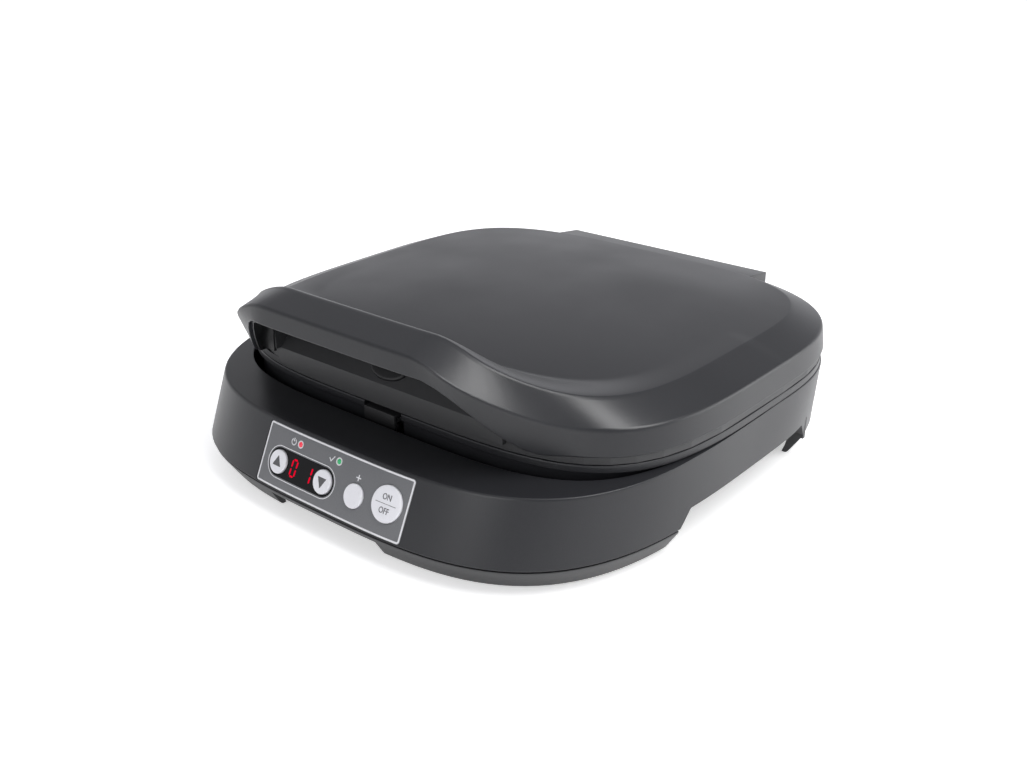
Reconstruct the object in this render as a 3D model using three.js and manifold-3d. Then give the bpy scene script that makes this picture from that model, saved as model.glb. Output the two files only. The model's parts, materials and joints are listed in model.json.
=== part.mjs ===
// Countertop pancake maker with a hinged lid, a bow handle and a push-button panel.
// Lengths are millimetres. X runs to the right, Y to the back and Z up; the maker stands on Z = 0.

import * as THREE from 'three';
import { mergeVertices } from 'three/addons/utils/BufferGeometryUtils.js';
import Module from 'manifold-3d';

const wasm = await Module();
wasm.setup();

// Driving dimensions

const GAP = 0.35;             // clearance between pieces that touch
const SHELL = 2.6;            // wall of the moulded casings
const OVERRUN = 6;            // how far a cutter runs past what it cuts
const QUARTER = 14;           // steps in a quarter of a large outline
const ROUND = 28;             // sides of a large round piece
const SMALL_ROUND = 16;       // sides of a small round piece

// Plan outlines: half width, place of the widest line, depths ahead of it and behind it,
// and how square the front and rear corners are. rearMiddle ends a straight stretch of the sides.
// The lid's crease is the driving outline, and each other one keeps its distance from it.
const LID_PLAN = { half: 147.5, middle: 27, front: 143, rear: 114, frontPower: 4.24, rearPower: 2.92 };
const PLATEAU_INSET = { side: 20.1, front: 15, rear: 18, frontPower: 4.43, rearPower: 3.45 };
const SEAM_OUTSET = {
  side: 1.6, front: 25.9, rear: 27.3, middle: 4.7, rearMiddle: 4.7, frontPower: 3.42, rearPower: 3,
};
const BODY_TOP_OUTSET = {
  side: 0.9, front: 9.1, rear: 3.6, middle: 4.7, rearMiddle: 27, frontPower: 3.5, rearPower: 2.92,
};
const OPENING_OUTSET = { side: -2.2, front: 6, rear: -1 };
const RIM_SKIRT_INSET = { side: 2.9, front: 1, rear: 5 };
const PLATE_INSET = { side: 16.5, front: 35, rear: 6, middle: 6, frontPower: 6, rearPower: 6 };
const SHIELD_INSET = { side: 4, front: 3.8, rear: 3 };

// An outline a stated way out from another, or in from it, with its own corners and middle where given
function outlineFrom(plan, { side, front, rear, ...own }, way) {
  return {
    ...plan,
    half: plan.half + way * side,
    front: plan.front + way * front,
    rear: plan.rear + way * rear,
    ...own,
  };
}

const PLATEAU_PLAN = outlineFrom(LID_PLAN, PLATEAU_INSET, -1);
const SEAM_PLAN = outlineFrom(LID_PLAN, SEAM_OUTSET, 1);
const BODY_TOP_PLAN = outlineFrom(LID_PLAN, BODY_TOP_OUTSET, 1);
const OPENING_PLAN = outlineFrom(LID_PLAN, OPENING_OUTSET, 1);
const RIM_SKIRT_PLAN = outlineFrom(LID_PLAN, RIM_SKIRT_INSET, -1);
const PLATE_PLAN = outlineFrom(LID_PLAN, PLATE_INSET, -1);
const SHIELD_PLAN = outlineFrom(PLATE_PLAN, SHIELD_INSET, -1);
const WALL_FRONT_Y = SEAM_PLAN.middle - SEAM_PLAN.front;
const REAR_WALL_Y = SEAM_PLAN.middle + SEAM_PLAN.rear;

// Heights, from the table up
const SEAM_Z = 14.9;          // lower edge of the base body
const RIM_Z = 50;             // underside of the base rim
const PARTING_Z = 53.9;       // top of the base rim and of the lower plate
const LID_Z = 54.5;           // underside of the lid frame and of the upper plate
const SKIRT_Z = 58.4;         // lower edge of the lid cover
const CREASE_Z = 71.2;        // crease between the cover's skirt and its shoulder
const PLATEAU_Z = 78.6;       // edge of the cover's flat top
const CROWN = 5;              // rise of the flat top to its middle
const SKIRT_FLARE = 1.6;      // how far the skirt's lower edge stands out past the crease
const FRAME_SETBACK = 0.9;    // how far the lid frame lies behind the skirt
const BAND_FRONT = LID_PLAN.middle - LID_PLAN.front - SKIRT_FLARE + FRAME_SETBACK;

// Handle: each edge of the bow is the lid's own edge, pushed forward and raised.
// flat is the half width of the straight stretch and run the length of the blend beside it.
const HANDLE_FRONT = { push: 33, pushFlat: 65, pushRun: 57, rise: 34.4, riseFlat: 50.7, riseRun: 68.4 };
const HANDLE_REAR = { push: 29, pushFlat: 70.4, pushRun: 71.7, rise: 31.2, riseFlat: 48.6, riseRun: 82.6 };
const HANDLE_LOW = { push: 33, pushFlat: 50, pushRun: 65, rise: 37.9, riseFlat: 54.4, riseRun: 48.9 };
const SWEEP_START_SHARE = 0.88;              // where the flat top starts to sweep up to the handle
const PLATEAU_RING_SHARES = [0.975, 0.95, 0.925, 0.9, 0.87, 0.5];

// Finger recess under the handle, as a section from front to back
const RECESS = {
  bandTop: 66.5,              // top of the lid frame's front band
  slopeDepth: 12.3,           // depth and height of the sloping face above the band
  backRise: 5.6,              // from the top of the slope to the top of the back wall
  backLean: 2.5,              // how far the back wall leans forward
  ceiling: 95.8,              // underside of the grip
  ceilingDepth: 14,           // from the back wall to where the ceiling is level
  frontHalf: 64,              // half width at the handle's front
  backHalf: 77,               // half width at the lid's front
  clearFront: 16,             // how far the recess is cut past the handle's front
  wall: 2.4,
  split: 3.2,                 // how far the grip's underside starts ahead of the lid frame
  gripPast: 22,               // how far the grip reaches past the recess to each side
  roomDrop: 45,               // how far the room for the lid frame reaches below the cover's lower edge
};

const RECESS_FRONT = LID_PLAN.front - LID_PLAN.middle + HANDLE_LOW.push + RECESS.clearFront;

// Hinge
// Across the maker, distances are from the slot that a bracket stands in, and along it from the pins.
// The slot's own place is a share of the lid's half width, so that it stays clear of the rear corners.
const HINGE_SIZES = {
  slotShare: 0.385, setback: 5, z: 57, pinRadius: 2.5, headRadius: 5.5,
  coverPast: 16.7, coverBehind: 9, coverAhead: 28, coverTopRear: 74, coverTopFront: 78.9, coverBottom: 46.6,
  slotWidth: 9.4, slotTop: 66, wellPast: 20.7, wellAhead: 13.5, wellFloor: 42.6,
  armGap: 1.4, armThickness: 3, armAhead: 20.6, armTop: 68.4, armFlange: 12, frameAhead: 10,
  bracketGap: 2.2, bracketThickness: 4, bracketAhead: 8.5, bracketDepth: 6.5, bracketFoot: 16, pinPast: 8.2,
};

function hingePlaces(sizes) {
  const slot = LID_PLAN.half * sizes.slotShare;
  const y = LID_PLAN.middle + LID_PLAN.rear - sizes.setback;
  return {
    ...sizes, y,
    coverHalf: slot + sizes.coverPast, coverRear: y + sizes.coverBehind, coverFront: y - sizes.coverAhead,
    slotIn: slot, slotOut: slot + sizes.slotWidth,
    wellHalf: slot + sizes.wellPast, wellFront: y - sizes.wellAhead,
    armIn: slot - sizes.armGap - sizes.armThickness, armOut: slot - sizes.armGap,
    armFront: y - sizes.armAhead,
    frameCut: y - sizes.frameAhead,
    bracketIn: slot + sizes.bracketGap, bracketOut: slot + sizes.bracketGap + sizes.bracketThickness,
    bracketFront: y - sizes.bracketAhead, bracketRear: y - sizes.bracketAhead + sizes.bracketDepth,
    pinOut: slot + sizes.pinPast,
  };
}

const HINGE = hingePlaces(HINGE_SIZES);

// Lid frame and lower casing
const FRAME = { lipTop: 64, lipWall: 2.4, bandHalf: 70, bandWall: 2.4, openingGap: 0.6 };
const DECK = { frontY: -149, frontZ: 46, slope: 0.04 };
const BODY = { wall: 2.8 };
const NOTCH = { frontLow: -66, frontHigh: -58, rearHigh: 58, rearLow: 64, top: 23.5 };
const RIM = { skirtWall: 2.4, skirtBottom: 38 };

const PAN = {
  floor: 12.2, thickness: 2.4, wall: 2.4, wallTop: 25.2, footInset: 8, lipInset: 0.6, footBottom: 1,
  frontHalf: 38, rearInset: 53.1, tunnelInset: 18.1, footWall: 3,
};
const TUNNEL_HALF = SEAM_PLAN.half - PAN.tunnelInset;
// Feet and screws keep their distances from the seam's sides, front and rear
const FOOT = {
  frontInset: 45.1, rearInset: 53.1, fromFront: 46.2, fromRear: 42,
  radius: 9, height: 3.2, stemRadius: 3, stem: 5, bossRadius: 7, ease: 0.8,
};
const SCREW = {
  frontInset: 19.1, rearInset: 29.1, fromFront: 72.2, fromRear: 56,
  radius: 1.9, head: 3.6, headHeight: 2, length: 15, post: 4.5, ease: 0.5,
};
const SCREW_POST = { top: 34, ribBottom: 27, ribWide: 4, ribReach: 26 };

// The wells fill the plate's width, and lie the same distance from its front and its rear
const PLATE = {
  rim: 3.5, wellSide: 21, wellBetween: 28, wellEnd: 9, cupWall: 3, lowerDepth: 7, upperDepth: 5, taper: 3,
};
const WELL_RADIUS = (PLATE_PLAN.half - PLATE.wellSide) / 2 - PLATE.wellBetween / 4;
const WELL_X = PLATE.wellBetween / 2 + WELL_RADIUS;
const WELL_Y = (PLATE_PLAN.front + PLATE_PLAN.rear) / 2 - PLATE.wellEnd - WELL_RADIUS;
const ELEMENT = { radius: 3.3, pastWell: 2, pastWellEnd: 3, corner: 26, steps: 44, sides: 4, tail: 18 };
const SHIELD_WALL = 1.2;

// Control panel, in its own frame: u to the right, v up the panel and w out of it
const PANEL_SIZES = {
  x: 3, z: 30.4, tilt: 25.4, height: 31.1, corner: 2.6, thickness: 1.2, recess: 0.6,
  ledge: 2.2, bossWall: 3.4, bossMargin: 2, trayMargin: 7.25, trayCutDepth: 34,
  marginLeft: 4.75, marginRight: 1.85,
};
const WINDOW_SIZES = { between: 33.2, v: -2.8, radius: 8.6, thickness: 0.9, rim: 1.2 };
const ARROW_BUTTON = { radius: 6.6 };
const MORE_SIZES = { afterWindow: 6.4, v: -2.6, radius: 6.6 };
const START_SIZES = { afterMore: 3.9, v: 0.4, radius: 10.5 };

// What the panel holds, from left to right, gives its width
const CONTENT_WIDTH = WINDOW_SIZES.between + 2 * WINDOW_SIZES.radius + MORE_SIZES.afterWindow
  + 2 * MORE_SIZES.radius + START_SIZES.afterMore + 2 * START_SIZES.radius;
const PANEL = {
  ...PANEL_SIZES, width: PANEL_SIZES.marginLeft + CONTENT_WIDTH + PANEL_SIZES.marginRight,
};
const WINDOW_LEFT = PANEL.marginLeft - PANEL.width / 2 + WINDOW_SIZES.radius;
const WINDOW = { ...WINDOW_SIZES, left: WINDOW_LEFT, right: WINDOW_LEFT + WINDOW_SIZES.between };
const MORE_BUTTON = {
  ...MORE_SIZES, u: WINDOW.right + WINDOW.radius + MORE_SIZES.afterWindow + MORE_SIZES.radius,
};
const START_BUTTON = { ...START_SIZES, u: PANEL.width / 2 - PANEL.marginRight - START_SIZES.radius };
const BUTTON = {
  stand: 1.6, clearance: 0.3, flange: 1.1, flangeHeight: 1, stemRadius: 1.8, travel: 0.8, stem: 3,
  edge: 0.4, crown: 0.13,
};
const CROWN_START_SHARE = 0.7;      // where a button's or lens's top starts to fall to its edge
const LENS = {
  v: 10.1, redPast: 11.9, greenPast: 40, radius: 2.5, bezel: 3.1, bezelBack: 1.5, stand: 0.65, edge: 0.5,
  length: 5,
};
const DISPLAY = { width: 17, height: 12, depth: 6 };
const SWITCH = { size: 6, height: 3.4, plungerRadius: 1.4, plunger: 0.6 };
const BOARD = { inset: 3.75, low: -11, high: 14, thickness: 1.6 };

// Distances of the latch and its catch behind the front band
const LATCH_BEHIND = {
  pivotY: 10.2, shankFront: 4.7, shankBack: 7.5, bladeFront: -2.6, bladeBack: -0.2, noseTip: 0.9,
  armFront: 14.3, armBack: 16.4, slotFront: 2.5, slotRear: 14.3,
};
const CATCH_BEHIND = { front: 4.5, back: 6.1, lipTip: 1.3, notchRear: 8.5 };

function behindBand(distances) {
  const entries = Object.entries(distances);
  return Object.fromEntries(entries.map(([name, distance]) => [name, BAND_FRONT + distance]));
}

const LATCH = {
  buttonHalf: 11.6, buttonRise: 6, stand: 1.4, flange: 1.1, flangeHeight: 1.1, stem: 5.3, stemRadius: 2.4,
  pivotZ: 61.5, pinRadius: 1.5, hookHalf: 10.9, bossRadius: 3.4,
  footTop: 52.9, footBottom: 50.6, bladeBottom: 44.4, noseTop: 47, armTop: 68, armHalf: 4.8, armLow: 1.6,
  earIn: 16.6, earOut: 19, earWide: 7, slotSide: 0.8,
  ...behindBand(LATCH_BEHIND),
};
const SPRING = { turns: 4, wire: 0.45, radius: 2.6, sides: 3, stepsPerTurn: 8, start: 11.6, end: 15.9 };
const CATCH = {
  half: 17, lipHalf: 9, bottom: 40, top: 49.6, lipBottom: 47.6, notchHalf: 13.2,
  ...behindBand(CATCH_BEHIND),
};

const GLAND = {
  x: 12, z: 30, bodyRadius: 6.2, bore: 3.7, flangeRadius: 9.4, flange: 1.8, nut: 3.2, length: 12, lean: 1.2,
};
// Pieces on the base's floor keep their distances from the side notches and from the hinge
const BOARD_SIZES = { inset: 69, ahead: 50, width: 88, depth: 44, height: 1.6, stand: 5 };
const POWER_BOARD = { ...BOARD_SIZES, x: BOARD_SIZES.inset - TUNNEL_HALF, y: HINGE.y - BOARD_SIZES.ahead };
const SPACER = { radius: 3, inset: 5 };
const RELAY = { width: 19, depth: 15, height: 13, fromLeft: 22 };
const TRANSFORMER = { width: 32, depth: 26, height: 11.5, fromLeft: 62 };
const TERMINAL = { inset: 65, ahead: 38, width: 26, depth: 14, height: 11 };
const SENSOR = { radius: 5, height: 5, clip: 1 };

// Materials

const plastic = (color, roughness) => new THREE.MeshStandardMaterial({ color, roughness, metalness: 0 });
const metal = (color, roughness) => new THREE.MeshStandardMaterial({ color, roughness, metalness: 1 });
const charcoal = plastic(0x37383a, 0.5);
const darkCharcoal = plastic(0x232325, 0.55);
const fasciaGrey = plastic(0x6a6b6e, 0.5);
const windowBlack = plastic(0x111113, 0.15);
const pearl = plastic(0xdcdcdf, 0.35);
const redLens = plastic(0xd92b35, 0.2);
const greenLens = plastic(0x2e9a55, 0.2);
const boardGreen = plastic(0x1f5a38, 0.6);
const nonStick = plastic(0x1d1d1f, 0.35);
const rubber = plastic(0x1a1a1a, 0.9);
const nylon = plastic(0xd8d4c8, 0.6);
const steel = metal(0x9a9da1, 0.35);
const aluminium = metal(0xc4c6c8, 0.4);

// Solids

function toSolid(geometry) {
  const bare = geometry.clone();
  for (const name of Object.keys(bare.attributes)) {
    if (name !== 'position') bare.deleteAttribute(name);
  }
  const merged = mergeVertices(bare);
  return new wasm.Manifold(new wasm.Mesh({
    numProp: 3,
    vertProperties: Float32Array.from(merged.attributes.position.array),
    triVerts: Uint32Array.from(merged.index.array),
  }));
}

function toGeometry(solid) {
  const mesh = solid.getMesh();
  const geometry = new THREE.BufferGeometry();
  const places = new THREE.BufferAttribute(new Float32Array(mesh.vertProperties), mesh.numProp);
  geometry.setAttribute('position', places);
  geometry.setIndex(new THREE.BufferAttribute(new Uint32Array(mesh.triVerts), 1));
  geometry.computeVertexNormals();
  return geometry;
}

const joined = (solids) => solids.reduce((whole, piece) => whole.add(piece));
const without = (solid, cutters) => cutters.reduce((left, cutter) => left.subtract(cutter), solid);

function box(x0, x1, y0, y1, z0, z1) {
  const geometry = new THREE.BoxGeometry(x1 - x0, y1 - y0, z1 - z0);
  return toSolid(geometry.translate((x0 + x1) / 2, (y0 + y1) / 2, (z0 + z1) / 2));
}

function shapeOf(points) {
  return new THREE.Shape(points.map(([a, b]) => new THREE.Vector2(a, b)));
}

// A section of [y, z] points, run along X from x0 to x1
function alongX(points, x0, x1) {
  const geometry = new THREE.ExtrudeGeometry(shapeOf(points), { depth: x1 - x0, bevelEnabled: false });
  const turn = new THREE.Matrix4().makeBasis(
    new THREE.Vector3(0, 1, 0), new THREE.Vector3(0, 0, 1), new THREE.Vector3(1, 0, 0));
  return toSolid(geometry.applyMatrix4(turn).translate(x0, 0, 0));
}

// A plan of [x, y] points, run up from z0 to z1
function alongZ(points, z0, z1) {
  const geometry = new THREE.ExtrudeGeometry(shapeOf(points), { depth: z1 - z0, bevelEnabled: false });
  return toSolid(geometry.translate(0, 0, z0));
}

function rodX(radius, x0, x1, y, z, sides = SMALL_ROUND) {
  const geometry = new THREE.CylinderGeometry(radius, radius, x1 - x0, sides).rotateZ(Math.PI / 2);
  return toSolid(geometry.translate((x0 + x1) / 2, y, z));
}

function rodZ(topRadius, bottomRadius, x, y, z0, z1, sides = SMALL_ROUND) {
  const geometry = new THREE.CylinderGeometry(topRadius, bottomRadius, z1 - z0, sides).rotateX(Math.PI / 2);
  return toSolid(geometry.translate(x, y, (z0 + z1) / 2));
}

// A turned piece: [radius, height] points on a closed profile, standing along Z
function turned(points, sides = SMALL_ROUND) {
  const profile = points.map(([r, h]) => new THREE.Vector2(r, h));
  return new THREE.LatheGeometry(profile, sides).rotateX(Math.PI / 2);
}

// Outlines and lofts

function grown(plan, side, front = side, rear = side) {
  return { ...plan, half: plan.half + side, front: plan.front + front, rear: plan.rear + rear };
}

// Points of an outline, from the middle of the front round by the right side
function ring(plan, z, steps = QUARTER) {
  const points = [];
  for (let i = 0; i < 4 * steps; i += 1) {
    const angle = (i / steps) * (Math.PI / 2);
    const across = Math.sin(angle);
    const ahead = Math.cos(angle) > 0;
    const power = ahead ? plan.frontPower : plan.rearPower;
    const depth = ahead ? -plan.front : plan.rear;
    const start = ahead ? plan.middle : plan.rearMiddle ?? plan.middle;
    const along = Math.max(0, 1 - Math.abs(across) ** power) ** (1 / power);
    points.push(new THREE.Vector3(plan.half * across, start + depth * along, z));
  }
  return points;
}

// A closed solid through rings that are listed from the bottom up. Each side panel is split along
// the diagonal that mirrors the one across the maker, so both sides are alike.
function loft(rings, bottomPole, topPole) {
  const count = rings[0].length;
  const centre = (points) => points
    .reduce((sum, point) => sum.clone().add(point), new THREE.Vector3()).divideScalar(points.length);
  const low = bottomPole ?? centre(rings[0]);
  const high = topPole ?? centre(rings[rings.length - 1]);
  const points = [low, ...rings.flat(), high];
  const index = [];
  const at = (level, i) => 1 + level * count + (i % count);
  for (let i = 0; i < count; i += 1) {
    index.push(0, at(0, i + 1), at(0, i));
    for (let level = 0; level + 1 < rings.length; level += 1) {
      const [a, b, c, d] = [at(level, i), at(level, i + 1), at(level + 1, i + 1), at(level + 1, i)];
      if (i < count / 2) index.push(a, b, c, a, c, d);
      else index.push(a, b, d, b, c, d);
    }
    index.push(points.length - 1, at(rings.length - 1, i), at(rings.length - 1, i + 1));
  }
  const geometry = new THREE.BufferGeometry().setFromPoints(points);
  geometry.setIndex(index);
  return toSolid(geometry);
}

function prism(plan, z0, z1, steps = QUARTER) {
  return loft([ring(plan, z0, steps), ring(plan, z1, steps)]);
}

// 1 within the flat half width, falling smoothly to 0 over the run beside it
function fade(x, flat, run) {
  const share = THREE.MathUtils.clamp((flat + run - Math.abs(x)) / run, 0, 1);
  return share * share * (3 - 2 * share);
}

// Pushes and raises the front of a ring into the handle's bow
function bowed(points, plan, edge, share = 1) {
  return points.map((point) => {
    if (point.y > plan.middle) return point.clone();
    const forward = share * edge.push * fade(point.x, edge.pushFlat, edge.pushRun);
    const up = share * edge.rise * fade(point.x, edge.riseFlat, edge.riseRun);
    return new THREE.Vector3(point.x, point.y - forward, point.z + up);
  });
}

// Moves a ring inward across its own run, and down
function insetRing(points, inset, drop) {
  const count = points.length;
  return points.map((point, i) => {
    const before = points[(i + count - 1) % count];
    const after = points[(i + 1) % count];
    const run = new THREE.Vector3(after.x - before.x, after.y - before.y, 0).normalize();
    return new THREE.Vector3(point.x - run.y * inset, point.y + run.x * inset, point.z - drop);
  });
}

// Lid cover

const SKIRT_PLAN = grown(LID_PLAN, SKIRT_FLARE);
const CREASE_DROP_SHARE = 0.75;
const EDGE_INSET_SHARE = 0.5;
const TOP_DROP_SHARE = 1.15;

// The volume inside the cover's outer skin, moved in by depth and closed below by a cut at the skirt's edge
function coverVolume(depth, below = 0) {
  const skirt = insetRing(bowed(ring(SKIRT_PLAN, SKIRT_Z), SKIRT_PLAN, HANDLE_LOW), depth, 0);
  const crease = insetRing(
    bowed(ring(LID_PLAN, CREASE_Z), LID_PLAN, HANDLE_FRONT), depth, depth * CREASE_DROP_SHARE);
  const edge = insetRing(bowed(ring(PLATEAU_PLAN, PLATEAU_Z), PLATEAU_PLAN, HANDLE_REAR),
    depth * EDGE_INSET_SHARE, depth * TOP_DROP_SHARE);
  const inner = PLATEAU_RING_SHARES.map((share) => {
    const plan = {
      ...PLATEAU_PLAN,
      half: PLATEAU_PLAN.half * share,
      front: PLATEAU_PLAN.front * share,
      rear: PLATEAU_PLAN.rear * share,
    };
    const height = PLATEAU_Z + CROWN * (1 - share * share);
    const wide = ring(plan, height).map((point) => point.divide(new THREE.Vector3(share, 1, 1)));
    const sweep = fade(1 - share, 0, 1 - SWEEP_START_SHARE);
    return bowed(wide, PLATEAU_PLAN, HANDLE_REAR, sweep)
      .map((point) => new THREE.Vector3(point.x * share, point.y, point.z - depth * TOP_DROP_SHARE));
  });
  const rings = [skirt, crease, edge, ...inner];
  if (below > 0) rings.unshift(skirt.map((point) => new THREE.Vector3(point.x, point.y, point.z - below)));
  const bottomPole = new THREE.Vector3(0, LID_PLAN.middle, SKIRT_Z - below);
  const topPole = new THREE.Vector3(0, LID_PLAN.middle, PLATEAU_Z + CROWN - depth * TOP_DROP_SHARE);
  return loft(rings, bottomPole, topPole);
}

function hingeCoverSection(inset) {
  return [
    [HINGE.coverFront + inset, HINGE.coverTopFront - inset],
    [HINGE.coverFront + inset, SKIRT_Z],
    [HINGE.coverRear - SHELL - inset, SKIRT_Z],
    [HINGE.coverRear - SHELL - inset, HINGE.coverBottom],
    [HINGE.coverRear - inset, HINGE.coverBottom],
    [HINGE.coverRear - inset, HINGE.coverTopRear - inset],
  ];
}

function lidCover() {
  const half = HINGE.coverHalf;
  const hingeBox = alongX(hingeCoverSection(0), -half, half);
  const hingeHollow = alongX([
    [HINGE.coverFront, HINGE.coverTopFront - SHELL],
    [HINGE.coverFront, SKIRT_Z - OVERRUN],
    [HINGE.coverRear - SHELL, SKIRT_Z - OVERRUN],
    [HINGE.coverRear - SHELL, HINGE.coverTopRear - SHELL],
  ], SHELL - half, half - SHELL);
  const slots = [-1, 1].map((side) => box(
    Math.min(side * HINGE.slotIn, side * HINGE.slotOut), Math.max(side * HINGE.slotIn, side * HINGE.slotOut),
    HINGE.coverRear - SHELL - GAP, HINGE.coverRear + OVERRUN, HINGE.coverBottom - OVERRUN, HINGE.slotTop));
  return without(coverVolume(0).add(hingeBox), [coverVolume(SHELL, OVERRUN), hingeHollow, ...slots]);
}

// Finger recess, grip and lid frame

const FRAME_PLAN = grown(SKIRT_PLAN, -FRAME_SETBACK);
const RECESS_BACK = BAND_FRONT + RECESS.slopeDepth;
const SLOPE_TOP = RECESS.bandTop + RECESS.slopeDepth;
const GRIP_REAR = BAND_FRONT - RECESS.split;

// The recess as [y, z] points; the liner's outside is the same section moved out by its wall
const RECESS_SECTION = [
  [-RECESS_FRONT, RECESS.bandTop],
  [BAND_FRONT, RECESS.bandTop],
  [RECESS_BACK, SLOPE_TOP],
  [RECESS_BACK - RECESS.backLean, SLOPE_TOP + RECESS.backRise],
  [RECESS_BACK - RECESS.ceilingDepth, RECESS.ceiling],
  [-RECESS_FRONT, RECESS.ceiling],
];

const LINER_SECTION = [
  [BAND_FRONT, LID_Z],
  [BAND_FRONT + RECESS.wall, LID_Z],
  [BAND_FRONT + RECESS.wall, RECESS.bandTop - RECESS.wall],
  [RECESS_BACK + RECESS.wall, SLOPE_TOP - RECESS.wall / 2],
  [RECESS_BACK - RECESS.backLean + RECESS.wall, SLOPE_TOP + RECESS.backRise + RECESS.wall],
  [RECESS_BACK - RECESS.ceilingDepth, RECESS.ceiling + RECESS.wall],
  [GRIP_REAR + GAP, RECESS.ceiling + RECESS.wall],
  [GRIP_REAR + GAP, RECESS.bandTop],
  [BAND_FRONT, RECESS.bandTop],
];

function recessPlan(wider) {
  const front = RECESS.frontHalf + wider;
  const back = RECESS.backHalf + wider;
  return [
    [-front, -RECESS_FRONT],
    [front, -RECESS_FRONT],
    [back, BAND_FRONT],
    [back, RECESS_BACK + OVERRUN],
    [-back, RECESS_BACK + OVERRUN],
    [-back, BAND_FRONT],
  ];
}

const RECESS_HALF = RECESS.backHalf + OVERRUN;
const recessVolume = alongX(RECESS_SECTION, -RECESS_HALF, RECESS_HALF)
  .intersect(alongZ(recessPlan(0), 0, RECESS.ceiling + OVERRUN));
const coreVolume = coverVolume(SHELL + GAP);
const frameRoom = coverVolume(SHELL + GAP, RECESS.roomDrop);

function handleGrip() {
  const reach = RECESS.backHalf + RECESS.gripPast;
  const ahead = box(-reach, reach, -RECESS_FRONT - OVERRUN, GRIP_REAR, 0, RECESS.ceiling + OVERRUN * 3);
  return coreVolume.intersect(ahead).subtract(recessVolume);
}

// The slope's own frame: its middle, and the direction out of it
const SLOPE_ANGLE = Math.PI / 4;
const slopeMiddle = new THREE.Vector3(
  0, BAND_FRONT + RECESS.slopeDepth / 2, RECESS.bandTop + RECESS.slopeDepth / 2);

// Stands a piece that was turned along Z on the slope, drawn out across the lid
function onSlope(geometry, stretch) {
  return geometry.scale(stretch, 1, 1).rotateX(SLOPE_ANGLE)
    .translate(slopeMiddle.x, slopeMiddle.y, slopeMiddle.z);
}

const LIP_PLAN = grown(LID_PLAN, -SHELL - GAP);
const LIP_BOTTOM = SKIRT_Z - GAP;

function latchEar(side) {
  const inner = side * LATCH.earIn;
  const outer = side * LATCH.earOut;
  const post = box(Math.min(inner, outer), Math.max(inner, outer), BAND_FRONT + RECESS.wall / 2,
    LATCH.pivotY + LATCH.earWide / 2, LID_Z, LATCH.pivotZ + LATCH.earWide / 2);
  return post.subtract(rodX(LATCH.pinRadius + GAP / 2, -LATCH.earOut - OVERRUN, LATCH.earOut + OVERRUN,
    LATCH.pivotY, LATCH.pivotZ));
}

function lidFrame() {
  const opening = grown(PLATE_PLAN, FRAME.openingGap);
  const flange = prism(FRAME_PLAN, LID_Z, LIP_BOTTOM);
  const lip = prism(LIP_PLAN, LID_Z, FRAME.lipTop);
  const lipHollow = prism(grown(LIP_PLAN, -FRAME.lipWall), LIP_BOTTOM, FRAME.lipTop + OVERRUN);
  const ring0 = flange.add(lip).subtract(lipHollow);
  const band = prism(FRAME_PLAN, LID_Z, RECESS.bandTop)
    .subtract(prism(grown(FRAME_PLAN, -FRAME.bandWall), LIP_BOTTOM, RECESS.bandTop + OVERRUN))
    .intersect(box(-FRAME.bandHalf, FRAME.bandHalf, -RECESS_FRONT, 0, 0, RECESS.bandTop + OVERRUN));
  const liner = alongX(LINER_SECTION, -RECESS_HALF, RECESS_HALF)
    .subtract(alongX(RECESS_SECTION, -RECESS_HALF - OVERRUN, RECESS_HALF + OVERRUN))
    .intersect(alongZ(recessPlan(RECESS.wall), 0, RECESS.ceiling + OVERRUN))
    .intersect(box(-RECESS_HALF, RECESS_HALF, -RECESS_FRONT, 0, LIP_BOTTOM, RECESS.ceiling + OVERRUN));
  const cheekSection = RECESS_SECTION.map(([y, z]) => [Math.max(y, GRIP_REAR + GAP), z]);
  const cheeks = [-1, 1].map((side) => alongX(cheekSection,
    Math.min(side * RECESS.backHalf, side * (RECESS.backHalf + RECESS.wall)),
    Math.max(side * RECESS.backHalf, side * (RECESS.backHalf + RECESS.wall))));
  const inside = prism(LIP_PLAN, LID_Z, RECESS.bandTop).add(frameRoom).add(flange)
    .add(box(-FRAME.bandHalf, FRAME.bandHalf, BAND_FRONT, 0, LID_Z, RECESS.bandTop));
  const whole = joined([ring0, band, liner, ...cheeks]).intersect(inside);
  const buttonHole = toSolid(onSlope(turned([
    [0, -OVERRUN], [LATCH.buttonRise + BUTTON.clearance, -OVERRUN],
    [LATCH.buttonRise + BUTTON.clearance, OVERRUN], [0, OVERRUN],
  ], ROUND), (LATCH.buttonHalf + BUTTON.clearance) / (LATCH.buttonRise + BUTTON.clearance)));
  const flangeReach = LATCH.buttonRise + LATCH.flange + BUTTON.clearance;
  const flangeRoom = toSolid(onSlope(turned([
    [0, -OVERRUN * 2], [flangeReach, -OVERRUN * 2], [flangeReach, -RECESS.wall], [0, -RECESS.wall],
  ], ROUND), LATCH.buttonHalf / LATCH.buttonRise));
  const hookHalf = LATCH.hookHalf + LATCH.slotSide;
  const hookSlot = box(-hookHalf, hookHalf, LATCH.slotFront, LATCH.slotRear + OVERRUN, 0, FRAME.lipTop);
  const hingeCut = box(-HINGE.wellHalf, HINGE.wellHalf, HINGE.frameCut, HINGE.coverRear + OVERRUN,
    0, FRAME.lipTop + OVERRUN);
  const cut = without(whole, [
    prism(opening, 0, LIP_BOTTOM + OVERRUN), hookSlot, buttonHole, flangeRoom, hingeCut,
  ]);
  return joined([cut, latchEar(-1), latchEar(1)]);
}

// Cooking plates. A plate is drawn with its cooking face at z = 0 and its cups below,
// then mirrored for the lid.

const WELL_SPOTS = [[-1, -1], [1, -1], [-1, 1], [1, 1]]
  .map(([x, y]) => [x * WELL_X, PLATE_PLAN.middle + (PLATE_PLAN.rear - PLATE_PLAN.front) / 2 + y * WELL_Y]);

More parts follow.
